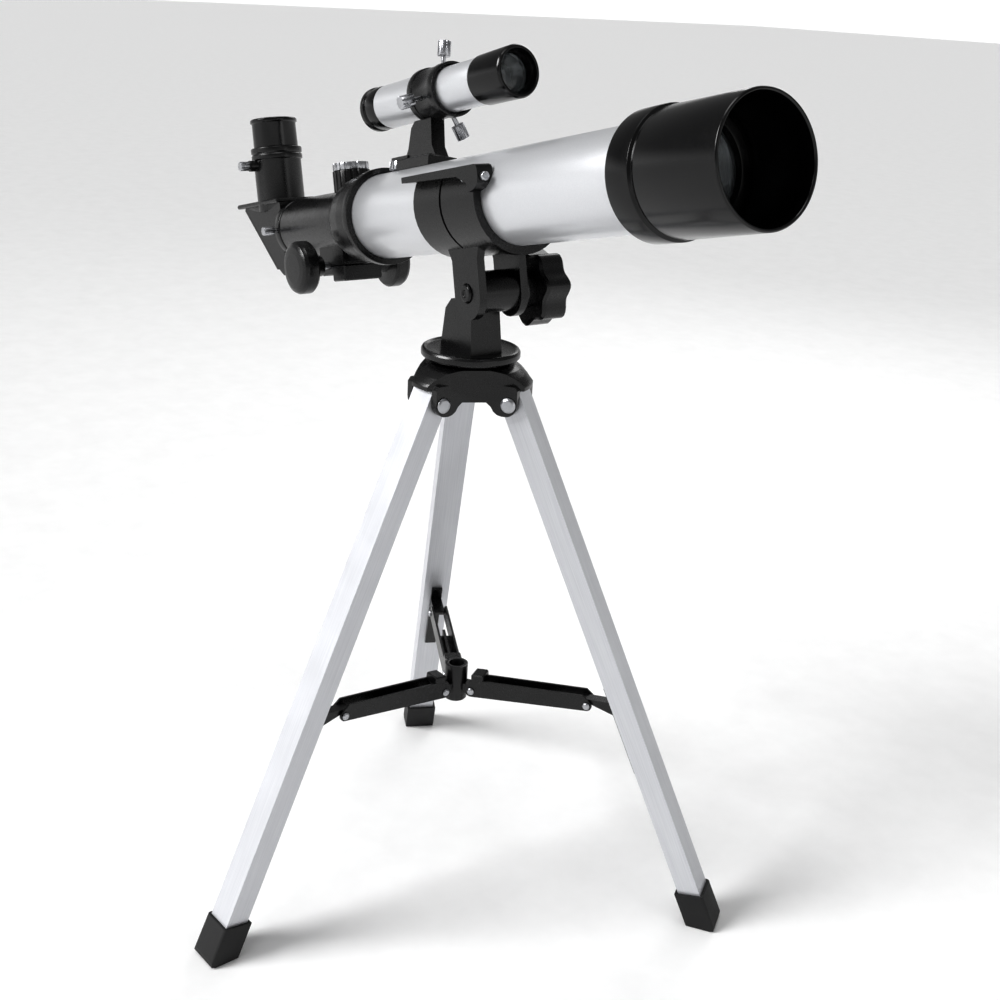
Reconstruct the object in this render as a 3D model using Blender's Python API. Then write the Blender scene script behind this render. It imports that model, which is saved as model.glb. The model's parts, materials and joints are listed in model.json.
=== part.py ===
"""A small refracting telescope on a folding table tripod, in metres with +Z up.

The tripod head carries a yoke that swivels on a vertical bolt. A cradle tilts on the yoke's
cross bolt and holds the tube, with the focuser and its right-angle eyepiece behind, the dew
shield in front and a finder on top. The three legs fold inwards on rivets, and a sliding hub
with three braces ties them together. The floor is Z = 0 and the tube points along +X.
"""

import math

import bmesh
import bpy
from mathutils import Matrix, Vector

MM = 0.001
GAP = 0.3 * MM  # between pieces that touch

# Tripod
LEG_AZIMUTHS = (35.3, -84.7, 155.3)  # degrees from +X
LEG_SPLAY = math.radians(24.37)
LEG_REACH = 382.0 * MM  # pivot to floor along a leg
LEG_WIDTH = 19.0 * MM
LEG_DEPTH = 14.6 * MM
LEG_WALL = 1.1 * MM
LEG_TOP = 5.0 * MM  # leg above its pivot
PIVOT_RADIUS = 32.0 * MM
RIVET_RADIUS = 2.5 * MM
RIVET_HEAD_RADIUS = 5.0 * MM
EAR_THICKNESS = 5.0 * MM
EAR_RADIUS = 7.9 * MM
BOOT_WALL = 1.7 * MM
BOOT_HEIGHT = 25.0 * MM  # at the outer face, above the floor
HEAD_RADIUS = 40.6 * MM
HEAD_TOP_RADIUS = 28.0 * MM
HEAD_TOP = 21.5 * MM  # flat top above the leg pivots
HEAD_BRIM = 8.4 * MM  # underside above the leg pivots
HEAD_ROOF = 4.5 * MM  # above the pocket under the head
HEAD_FLAT = 26.7 * MM  # axis to the flat sides between the legs
WEB_THICKNESS = 3.0 * MM

# Spreader
BRACE_STATION = 209.7 * MM  # leg pivot to the brace pin, along the leg
BRACE_INSET = 25.3 * MM  # leg centre line to the brace pin
HUB_PIN_RADIUS = 13.3 * MM
HUB_DROP = 8.3 * MM  # hub pins below the outer pins
HUB_RADIUS = 7.8 * MM
HUB_BORE = 5.2 * MM
PIN_RADIUS = 1.3 * MM
PIN_HEAD_RADIUS = 2.6 * MM
BRACE_GAP = 8.8 * MM  # between a brace's side walls
BRACE_WALL = 1.5 * MM
TONGUE_PLAY = 0.4 * MM  # on each side of a tongue inside a brace
STRIP_THICKNESS = 2.4 * MM
STRIP_LENGTH = 57.0 * MM  # bracket strip below the brace pin

# Yoke
DISC_RADIUS = 31.5 * MM
DISC_BASE_RADIUS = 25.0 * MM
DISC_HEIGHT = 8.5 * MM
POST_LENGTH = 35.2 * MM
POST_WIDTH = 23.4 * MM
POST_TAPER = 0.1  # share of its width lost at the top
AZIMUTH_BOLT_RADIUS = 3.0 * MM
ALTITUDE_FORWARD = 19.4 * MM  # altitude axis ahead of the azimuth axis
ALTITUDE_RISE = 47.4 * MM  # altitude axis above the head's flat top
YOKE_HUB_RADIUS = 12.8 * MM
YOKE_HUB_WIDTH = 24.4 * MM
ALTITUDE_BOLT_RADIUS = 3.0 * MM
STAR_RADIUS = 24.0 * MM
STAR_LOBES = 7

# Cradle and tube; stations run forward along the tube
TILT = math.radians(13.09)
TUBE_RADIUS = 28.0 * MM
TUBE_WALL = 1.0 * MM
TUBE_FRONT = 181.0 * MM
TUBE_REAR = -121.0 * MM
CRADLE_WALL = 3.6 * MM
CRADLE_REAR = -22.5 * MM
CRADLE_FRONT = 46.0 * MM
CRADLE_WRAP = math.radians(124.0)  # each way from the bottom
CRADLE_EAR = 5.3 * MM
CRADLE_EAR_HALF = 13.7 * MM
PIVOT_STATION = 7.5 * MM
PIVOT_DROP = 25.3 * MM  # altitude axis below the tube's skin
SHIELD_STEP = 5.1 * MM  # dew shield's skin outside the tube's
SHIELD_WALL = 2.1 * MM
SHIELD_REAR = 163.5 * MM
SHIELD_FRONT = 243.1 * MM
LENS_STATION = 196.0 * MM
LENS_RADIUS = 25.0 * MM

# Focuser
DRAW_RADIUS = 18.7 * MM
HOUSING_WALL = 2.9 * MM
HOUSING_REAR = -233.0 * MM
HOUSING_FRONT = -109.0 * MM
FLARE_REAR = -152.0 * MM
DRAW_COLLAR = 8.0 * MM
DRAW_TRAVEL = 45.0 * MM
PINION_STATION = -173.0 * MM
DRAW_FRONT = PINION_STATION + DRAW_TRAVEL + 4.0 * MM
PINION_PITCH_RADIUS = 5.5 * MM
PINION_TEETH = 14
TOOTH_HEIGHT = 1.7 * MM
TOOTH_BACKLASH = 0.35 * MM
RACK_WIDTH = 6.0 * MM
RACK_RISE = 4.8 * MM  # pitch line below the drawtube's skin
SHAFT_RADIUS = 2.5 * MM
KNOB_RADIUS = 18.3 * MM
KNOB_WIDTH = 13.0 * MM
KNOB_INNER = 30.6 * MM
GEAR_BOX_HALF = 15.0 * MM
LOCK_STATION = -155.0 * MM
LOCK_RADIUS = 12.5 * MM
LOCK_TOP = 40.0 * MM
LOCK_HEIGHT = 5.0 * MM

# Diagonal and eyepiece
BARREL_RADIUS = 15.875 * MM  # the 1.25 inch fitting
HOLDER_STATION = -270.3 * MM
HOLDER_WALL = 1.7 * MM
HOLDER_TOP = 54.0 * MM
HOLDER_COLLAR = 9.0 * MM
DIAGONAL_ROOF = 21.0 * MM
DIAGONAL_HALF = 18.0 * MM
DIAGONAL_BACK = 15.2 * MM  # the sloped back behind the mirror, along the tube
MIRROR_THICKNESS = 2.4 * MM
COVER_THICKNESS = 1.8 * MM
EYEPIECE_RISE = 21.0 * MM
EYEPIECE_FLANGE = 3.4 * MM

# Finder
FINDER_ROLL = math.radians(10.0)
FINDER_RISE = 45.4 * MM  # finder axis above the tube's skin
FINDER_STATION = -50.0 * MM
FINDER_PITCH = 0.013
FINDER_YAW = 0.038
FINDER_RADIUS = 14.05 * MM
FINDER_WALL = 0.9 * MM
FINDER_FRONT = 58.0 * MM  # ahead of the ring's middle
FINDER_REAR = -60.0 * MM
FINDER_CAP_REAR = 48.4 * MM
FINDER_CAP_FRONT = 81.2 * MM
FINDER_CAP_RADIUS = 15.5 * MM
FINDER_EYE_REAR = -76.7 * MM
FINDER_EYE_FRONT = -53.0 * MM
RING_WIDTH = 30.2 * MM
RING_INNER = 15.3 * MM
RING_WALL = 1.6 * MM
THUMBSCREW_ANGLES = (90.0, 202.0, 306.0)  # degrees about the finder, from +Y towards up
FOOT_NUT_STATION = -95.0 * MM
FOOT_NUT_RADIUS = 8.0 * MM

FINISHES = {
    "black_plastic": ((0.016, 0.016, 0.018), 0.42, 0.0),
    "black_enamel": ((0.012, 0.012, 0.013), 0.3, 0.0),
    "boot_rubber": ((0.014, 0.014, 0.014), 0.7, 0.0),
    "silver_enamel": ((0.62, 0.63, 0.65), 0.32, 0.6),
    "leg_aluminium": ((0.56, 0.56, 0.59), 0.4, 1.0),
    "rivet_steel": ((0.66, 0.66, 0.67), 0.3, 1.0),
    "screw_chrome": ((0.72, 0.72, 0.73), 0.15, 1.0),
    "lens_glass": ((0.75, 0.82, 0.86), 0.05, 0.0),
    "mirror": ((0.9, 0.9, 0.9), 0.03, 1.0),
}


def material(name):
    found = bpy.data.materials.get(name)
    if found:
        return found
    colour, roughness, metallic = FINISHES[name]
    made = bpy.data.materials.new(name)
    made.use_nodes = True
    shader = made.node_tree.nodes["Principled BSDF"]
    shader.inputs["Base Color"].default_value = (*colour, 1.0)
    shader.inputs["Roughness"].default_value = roughness
    shader.inputs["Metallic"].default_value = metallic
    return made


def empty(name, parent=None, location=(0, 0, 0), rotation=(0, 0, 0)):
    made = bpy.data.objects.new(name, None)
    made.empty_display_size = 0.01
    made.parent = parent
    made.location = location
    made.rotation_euler = rotation
    bpy.context.scene.collection.objects.link(made)
    return made


def place(bm, name, parent, finish):
    bmesh.ops.recalc_face_normals(bm, faces=bm.faces)
    mesh = bpy.data.meshes.new(name)
    bm.to_mesh(mesh)
    bm.free()
    mesh.shade_smooth()
    mesh.set_sharp_from_angle(angle=math.radians(35))
    mesh.materials.append(material(finish))
    made = bpy.data.objects.new(name, mesh)
    made.parent = parent
    bpy.context.scene.collection.objects.link(made)
    return made


def piece(name, parent, finish, base, adds=(), cuts=(), trims=()):
    """One sub-part: the base shape, trimmed, with others joined to it and cutters taken away."""
    made = place(base, name, parent, finish)
    tools = [("DIFFERENCE", bm) for bm in trims]
    tools += [("UNION", bm) for bm in adds]
    tools += [("DIFFERENCE", bm) for bm in cuts]
    for number, (operation, bm) in enumerate(tools, 1):
        tool = place(bm, f"{name}_tool_{number}", parent, finish)
        tool.hide_render = True
        tool.display_type = "WIRE"
        boolean = made.modifiers.new(f"tool_{number}", "BOOLEAN")
        boolean.operation = operation
        boolean.object = tool
    return made


TURNS = {
    "X": Matrix.Rotation(math.pi / 2, 3, "Y"),
    "Y": Matrix.Rotation(-math.pi / 2, 3, "X"),
    "Z": Matrix.Identity(3),
}


def moved(bm, turn=None, shift=(0, 0, 0)):
    if turn is not None:
        bmesh.ops.rotate(bm, cent=(0, 0, 0), matrix=turn, verts=bm.verts)
    bmesh.ops.translate(bm, vec=Vector(shift), verts=bm.verts)
    return bm


def turned(profile, axis="Z", steps=32, shift=(0, 0, 0)):
    """A round shape from (radius, height) points, closed along the axis where both ends lie on it."""
    bm = bmesh.new()
    ring = [bm.verts.new((radius, 0, height)) for radius, height in profile]
    sides = list(zip(ring, ring[1:] + ring[:1]))
    edges = [bm.edges.new(side) for side in sides if max(v.co.x for v in side) > 0]
    bmesh.ops.spin(
        bm,
        geom=ring + edges,
        cent=(0, 0, 0),
        axis=(0, 0, 1),
        angle=2 * math.pi,
        steps=steps,
        use_merge=True,
    )
    bmesh.ops.remove_doubles(bm, verts=bm.verts, dist=1e-6)
    return moved(bm, TURNS[axis], shift)


def rod(radius, low, high, axis="Z", steps=24, shift=(0, 0, 0)):
    return turned([(0, low), (radius, low), (radius, high), (0, high)], axis, steps, shift)


def pipe(outer, inner, low, high, axis="Z", steps=32):
    return turned([(inner, low), (outer, low), (outer, high), (inner, high)], axis, steps)


def plate(outline, low, high, axis="Y"):
    """A flat outline pushed along an axis: (y, z) points for X, (x, z) for Y and (x, y) for Z."""
    spots = {
        "X": lambda a, b: (low, a, b),
        "Y": lambda a, b: (a, low, b),
        "Z": lambda a, b: (a, b, low),
    }
    bm = bmesh.new()
    face = bm.faces.new([bm.verts.new(spots[axis](a, b)) for a, b in outline])
    grown = bmesh.ops.extrude_face_region(bm, geom=[face])["geom"]
    push = Vector([(high - low) * (letter == axis) for letter in "XYZ"])
    bmesh.ops.translate(
        bm, vec=push, verts=[v for v in grown if isinstance(v, bmesh.types.BMVert)]
    )
    return bm


def block(low, high, bevel=0.0, segments=2):
    bm = bmesh.new()
    bmesh.ops.create_cube(bm, size=1.0)
    size = Vector(high) - Vector(low)
    bmesh.ops.scale(bm, vec=size, verts=bm.verts)
    bmesh.ops.translate(bm, vec=(Vector(high) + Vector(low)) / 2, verts=bm.verts)
    if bevel:
        bmesh.ops.bevel(
            bm,
            geom=bm.edges,
            offset=bevel,
            segments=segments,
            profile=0.5,
            affect="EDGES",
            material=-1,
        )
    return bm


def arc(centre, radius, start, end, count):
    """Points on an arc, in degrees from the first axis towards the second."""
    angles = [math.radians(start + (end - start) * i / count) for i in range(count + 1)]
    return [
        (centre[0] + radius * math.cos(a), centre[1] + radius * math.sin(a))
        for a in angles
    ]


def rivet(shank, head, half, dome):
    """A two-headed rivet along Y, from half its grip."""
    top = [(0, half + dome), (0.7 * head, half + dome), (head, half + 0.3 * dome), (head, half)]
    top.append((shank, half))
    bottom = [(radius, -height) for radius, height in reversed(top)]
    return turned(top + bottom, "Y", 12)


def knurled(radius, low, high, ribs, depth):
    """A knob along Z with ribs round its rim."""
    outline = []
    for i in range(ribs):
        middle = 360.0 * i / ribs
        quarter = 90.0 / ribs
        outline += arc((0, 0), radius, middle - quarter, middle + quarter, 1)
        outline += arc((0, 0), radius - depth, middle + 1.6 * quarter, middle + 2.4 * quarter, 1)
    return plate(outline, low, high, "Z")


# --- Tripod ---------------------------------------------------------------------------


def tripod_head(head):
    slot_half = LEG_WIDTH / 2 + 1.5 * GAP
    ear_outer = slot_half + EAR_THICKNESS
    dome = turned(
        [
            (0, HEAD_BRIM),
            (HEAD_RADIUS, HEAD_BRIM),
            (HEAD_RADIUS, HEAD_BRIM + 2.4 * MM),
            (HEAD_RADIUS - 1.2 * MM, HEAD_BRIM + 4.2 * MM),
            (HEAD_RADIUS - 4.4 * MM, HEAD_BRIM + 7.6 * MM),
            (HEAD_RADIUS - 8.4 * MM, HEAD_BRIM + 10.9 * MM),
            (HEAD_TOP_RADIUS, HEAD_TOP),
            (0, HEAD_TOP),
        ],
        steps=36,
    )
    slope = 4.0 * MM
    flats = []
    webs = []
    ears = []
    slots = []
    for azimuth in LEG_AZIMUTHS:
        turn = Matrix.Rotation(math.radians(azimuth), 3, "Z")
        flat_turn = Matrix.Rotation(math.radians(azimuth + 60), 3, "Z")
        flat = block(
            (HEAD_FLAT, -HEAD_RADIUS, -slope),
            (HEAD_RADIUS + slope, HEAD_RADIUS, HEAD_TOP + slope),
        )
        flats.append(moved(flat, flat_turn))
        web = block(
            (HEAD_FLAT - WEB_THICKNESS, -21.0 * MM, 1.2 * MM),
            (HEAD_FLAT - GAP, 21.0 * MM, HEAD_TOP - 6 * MM),
        )
        webs.append(moved(web, flat_turn))
        rim = HEAD_RADIUS - 3.0 * MM
        outline = [(17.0 * MM, HEAD_BRIM + 3.6 * MM), (17.0 * MM, 0.0)]
        outline += arc((PIVOT_RADIUS - 4.0 * MM, 0), EAR_RADIUS, 200, 270, 3)
        outline += arc((rim - EAR_RADIUS, 0), EAR_RADIUS, 285, 360, 5)
        outline.append((rim, HEAD_BRIM + 1.2 * MM))
        outline.append((rim - 2.0 * MM, HEAD_BRIM + 3.6 * MM))
        ears.append(moved(plate(outline, -ear_outer, ear_outer), turn))
        slot = [
            (15.0 * MM, -2 * EAR_RADIUS),
            (HEAD_RADIUS + slope, -2 * EAR_RADIUS),
            (HEAD_RADIUS + slope, HEAD_BRIM - 0.3 * MM),
            (15.0 * MM, HEAD_BRIM - 0.3 * MM),
        ]
        slots.append(moved(plate(slot, -slot_half, slot_half), turn))
        spot = (PIVOT_RADIUS, 0, 0)
        hole = rod(RIVET_RADIUS + GAP, -2 * ear_outer, 2 * ear_outer, "Y", 16, spot)
        bmesh.ops.rotate(hole, cent=(0, 0, 0), matrix=turn, verts=hole.verts)
        slots.append(hole)
    pocket = rod(14.0 * MM, -slope, HEAD_TOP - HEAD_ROOF, steps=24)
    bore = rod(AZIMUTH_BOLT_RADIUS + GAP, 0, HEAD_TOP + slope, steps=16)
    piece("tripod_head", head, "black_plastic", dome, webs + ears, [*slots, pocket, bore], flats)
    return ear_outer


def leg_and_fittings(number, azimuth, head, ear_outer):
    """A leg in its own frame: +X out from the leg's face, +Z up the leg, origin on the pivot."""
    turn = math.radians(azimuth)
    spot = (PIVOT_RADIUS * math.cos(turn), PIVOT_RADIUS * math.sin(turn), 0)
    hinge = empty(f"leg_hinge_{number}", head, spot, (0, -LEG_SPLAY, turn))
    half = LEG_DEPTH / 2
    sole_clear = 3.0 * MM
    foot = LEG_REACH - (sole_clear + half * math.sin(LEG_SPLAY)) / math.cos(LEG_SPLAY)
    tube = block((-half, -LEG_WIDTH / 2, -foot), (half, LEG_WIDTH / 2, LEG_TOP))
    hollow = block(
        (LEG_WALL - half, LEG_WALL - LEG_WIDTH / 2, -foot - LEG_WALL),
        (half - LEG_WALL, LEG_WIDTH / 2 - LEG_WALL, LEG_TOP + LEG_WALL),
    )
    hole = rod(RIVET_RADIUS + GAP, -LEG_WIDTH, LEG_WIDTH, "Y", 16)
    piece(f"leg_{number}", hinge, "leg_aluminium", tube, cuts=[hollow, hole])
    grip = ear_outer + GAP
    piece(
        f"leg_rivet_{number}",
        hinge,
        "rivet_steel",
        rivet(RIVET_RADIUS, RIVET_HEAD_RADIUS, grip, 1.6 * MM),
    )
    boot(number, hinge, foot)
    bracket(number, hinge)
    return hinge


def boot(number, hinge, foot):
    """A rubber boot with a level sole; its outline is in the leg's frame."""
    reach = LEG_DEPTH / 2 + GAP + BOOT_WALL
    half = LEG_WIDTH / 2 + GAP + BOOT_WALL
    slope = math.tan(LEG_SPLAY)
    sole_mid = -LEG_REACH

    def level(x, height):
        return (x, sole_mid - x * slope + height / math.cos(LEG_SPLAY))

    toe = 4.0 * MM
    outline = [
        level(-reach, 0),
        level(reach - toe, 0),
        level(reach - 0.9 * MM, 1.0 * MM),
        level(reach, toe),
        level(reach, BOOT_HEIGHT),
        level(-reach, BOOT_HEIGHT - 2.5 * MM),
    ]
    body = plate(outline, -half, half)
    bevelled = [
        e
        for e in body.edges
        if abs(e.verts[0].co.x - e.verts[1].co.x) < 1e-6
        and abs(e.verts[0].co.x - reach) < 1e-6
        and abs(e.verts[0].co.z - e.verts[1].co.z) > 5 * MM
    ]
    bmesh.ops.bevel(
        body,
        geom=bevelled,
        offset=2.2 * MM,
        segments=3,
        profile=0.5,
        affect="EDGES",
        material=-1,
    )
    socket = block(
        (-LEG_DEPTH / 2 - GAP, -LEG_WIDTH / 2 - GAP, -foot - GAP),
        (LEG_DEPTH / 2 + GAP, LEG_WIDTH / 2 + GAP, LEG_TOP),
    )
    piece(f"leg_boot_{number}", hinge, "boot_rubber", body, cuts=[socket])


def bracket(number, hinge):
    """A strip on the leg's inner face with a tongue that reaches over the brace's outer pin."""
    half = BRACE_GAP / 2 - TONGUE_PLAY
    face = -LEG_DEPTH / 2 - GAP
    strip = [
        (face, -BRACE_STATION + 9.0 * MM),
        (face, -BRACE_STATION - STRIP_LENGTH),
        (face - STRIP_THICKNESS, -BRACE_STATION - STRIP_LENGTH + STRIP_THICKNESS),
        (face - STRIP_THICKNESS, -BRACE_STATION + 9.0 * MM),
    ]
    pin = (-BRACE_INSET, -BRACE_STATION)
    seat = PIN_RADIUS + 0.8 * MM
    root = face - STRIP_THICKNESS / 2 - pin[0]
    level_fall = math.tan(LEG_SPLAY)
    swing_fall = 0.84  # slope that stays above the pin as the leg folds
    tongue = [
        (pin[0] - 3.6 * MM, pin[1] + seat + 2.6 * MM),
        (pin[0] - 3.6 * MM, pin[1] + seat),
        (pin[0], pin[1] + seat),
        (pin[0] + root, pin[1] + seat - swing_fall * root),
        (pin[0] + root, pin[1] + seat + 3.4 * MM - level_fall * root),
        (pin[0] - 2.8 * MM, pin[1] + seat + 3.4 * MM),
    ]
    piece(
        f"brace_bracket_{number}",
        hinge,
        "black_plastic",
        plate(strip, -half, half),
        adds=[plate(tongue, 0.02 * MM - half, half - 0.02 * MM)],
    )


def spreader(head):
    """The hub on the tripod's axis and its three braces."""
    along = BRACE_STATION
    outer_radius = PIVOT_RADIUS + along * math.sin(LEG_SPLAY) - BRACE_INSET * math.cos(LEG_SPLAY)
    outer_height = -along * math.cos(LEG_SPLAY) - BRACE_INSET * math.sin(LEG_SPLAY)
    pin_height = outer_height - HUB_DROP
    run = outer_radius - HUB_PIN_RADIUS
    length = math.hypot(run, HUB_DROP)
    rise = math.atan2(HUB_DROP, run)
    axis = empty("spreader_axis", head, (0, 0, pin_height))
    tongue_half = BRACE_GAP / 2 - TONGUE_PLAY
    end = 3.5 * MM
    lugs = []
    holes = []
    for azimuth in LEG_AZIMUTHS:
        turn = Matrix.Rotation(math.radians(azimuth), 3, "Z")
        outline = [(HUB_BORE + 0.8 * MM, end)]
        outline += [(HUB_BORE + 0.8 * MM, -end)]
        outline += arc((HUB_PIN_RADIUS, 0), end, -90, 90, 6)
        lugs.append(moved(plate(outline, -tongue_half, tongue_half), turn))
        hole = rod(PIN_RADIUS + GAP, -2 * end, 2 * end, "Y", 12, (HUB_PIN_RADIUS, 0, 0))
        bmesh.ops.rotate(hole, cent=(0, 0, 0), matrix=turn, verts=hole.verts)
        holes.append(hole)
    socket = turned(
        [
            (0, -10.0 * MM),
            (HUB_RADIUS - 1.0 * MM, -10.0 * MM),
            (HUB_RADIUS, -9.0 * MM),
            (HUB_RADIUS, 16.5 * MM),
            (HUB_BORE, 16.5 * MM),
            (HUB_BORE, -6.0 * MM),
            (0, -6.0 * MM),
        ],
        steps=20,
    )
    piece("spreader_hub", axis, "black_plastic", socket, lugs, holes)
    for number, azimuth in enumerate(LEG_AZIMUTHS, 1):
        turn = math.radians(azimuth)
        spot = (HUB_PIN_RADIUS * math.cos(turn), HUB_PIN_RADIUS * math.sin(turn), 0)
        hinge = empty(f"brace_hinge_{number}", axis, spot, (0, -rise, turn))
        brace(number, hinge, length)


def brace(number, hinge, length):
    """An open-topped channel, bridged over the hub's lug, from the hub pin to the outer pin."""
    inner = BRACE_GAP / 2
    outer = inner + BRACE_WALL
    tail = 3.6 * MM
    wall = arc((0, 0), 4.2 * MM, 180, 270, 5)
    wall += arc((length, 0), tail, -90, 50, 7)
    wall += [
        (length - 2.4 * MM, 7.4 * MM),
        (14.0 * MM, 8.3 * MM),
        (0.0, 8.3 * MM),
        (-3.0 * MM, 4.5 * MM),
    ]
    floor_start = 12.0 * MM
    floor_end = length - 29.0 * MM
    sides = [plate(wall, side * inner, side * outer) for side in (-1, 1)]
    floor = block(
        (floor_start, -inner - 0.5 * MM, -3.6 * MM),
        (floor_end, inner + 0.5 * MM, -2.0 * MM),
    )
    rib = block((floor_start + 1 * MM, -1.0 * MM, -3.0 * MM), (floor_end - 1 * MM, 1.0 * MM, 4.0 * MM))
    bridge = block((0.8 * MM, -outer, 6.2 * MM), (9.6 * MM, outer, 12.4 * MM), 0.8 * MM, 1)
    pin_holes = [
        rod(PIN_RADIUS + GAP, -2 * outer, 2 * outer, "Y", 12, (x, 0, 0)) for x in (0, length)
    ]
    piece(
        f"brace_{number}",
        hinge,
        "black_plastic",
        floor,
        [*sides, rib, bridge],
        pin_holes,
    )
    for name, x in (("inner", 0), ("outer", length)):
        pin = rivet(PIN_RADIUS, PIN_HEAD_RADIUS, outer + GAP, 1.2 * MM)
        piece(f"brace_{name}_pin_{number}", hinge, "rivet_steel", moved(pin, shift=(x, 0, 0)))


# --- Yoke and cradle ------------------------------------------------------------------


def yoke(swivel):
    """The disc that turns on the head and the post that carries the altitude axis."""
    lip = 1.2 * MM
    disc = turned(
        [
            (0, 0),
            (DISC_BASE_RADIUS, 0),
            (DISC_BASE_RADIUS + 1.8 * MM, 1.2 * MM),
            (DISC_RADIUS - 0.8 * MM, 2.6 * MM),
            (DISC_RADIUS, 3.6 * MM),
            (DISC_RADIUS, DISC_HEIGHT - 2.0 * MM),
            (DISC_RADIUS - 0.9 * MM, DISC_HEIGHT - 0.5 * MM),
            (DISC_RADIUS - 2.2 * MM, DISC_HEIGHT),
            (DISC_RADIUS - 3.4 * MM, DISC_HEIGHT - lip),
            (0, DISC_HEIGHT - lip),
        ],
        steps=36,
    )
    top = ALTITUDE_RISE - YOKE_HUB_RADIUS * 0.72
    front = POST_LENGTH / 2
    side = [
        (-front, DISC_HEIGHT - 2 * lip),
        (front, DISC_HEIGHT - 2 * lip),
        (front - 4.1 * MM, top),
        (-front + 9.0 * MM, top),
        (-front + 3.0 * MM, top - 7.0 * MM),
    ]
    post = plate(side, -POST_WIDTH / 2, POST_WIDTH / 2)
    for vert in post.verts:
        vert.co.y *= 1 - POST_TAPER * vert.co.z / top
    hub_spot = (ALTITUDE_FORWARD, 0, ALTITUDE_RISE)
    hub = rod(YOKE_HUB_RADIUS, -YOKE_HUB_WIDTH / 2, YOKE_HUB_WIDTH / 2, "Y", 32, hub_spot)
    cross = rod(ALTITUDE_BOLT_RADIUS + GAP, -YOKE_HUB_WIDTH, YOKE_HUB_WIDTH, "Y", 16, hub_spot)
    bolt_hole = rod(AZIMUTH_BOLT_RADIUS + GAP, -lip, 28.0 * MM, steps=16)
    piece("mount_yoke", swivel, "black_plastic", disc, [post, hub], [cross, bolt_hole])
    washer_top = -HEAD_ROOF - 2 * GAP
    washer = 1.2 * MM
    piece(
        "azimuth_washer",
        swivel,
        "rivet_steel",
        pipe(9.0 * MM, AZIMUTH_BOLT_RADIUS + GAP, washer_top - washer, washer_top, steps=24),
    )
    under = washer_top - washer - GAP
    bolt = turned(
        [
            (0, under - 4.0 * MM),
            (5.2 * MM, under - 4.0 * MM),
            (5.2 * MM, under),
            (AZIMUTH_BOLT_RADIUS, under),
            (AZIMUTH_BOLT_RADIUS, 26.0 * MM),
            (0, 26.0 * MM),
        ],
        steps=12,
    )
    piece("azimuth_bolt", swivel, "rivet_steel", bolt)


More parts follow.
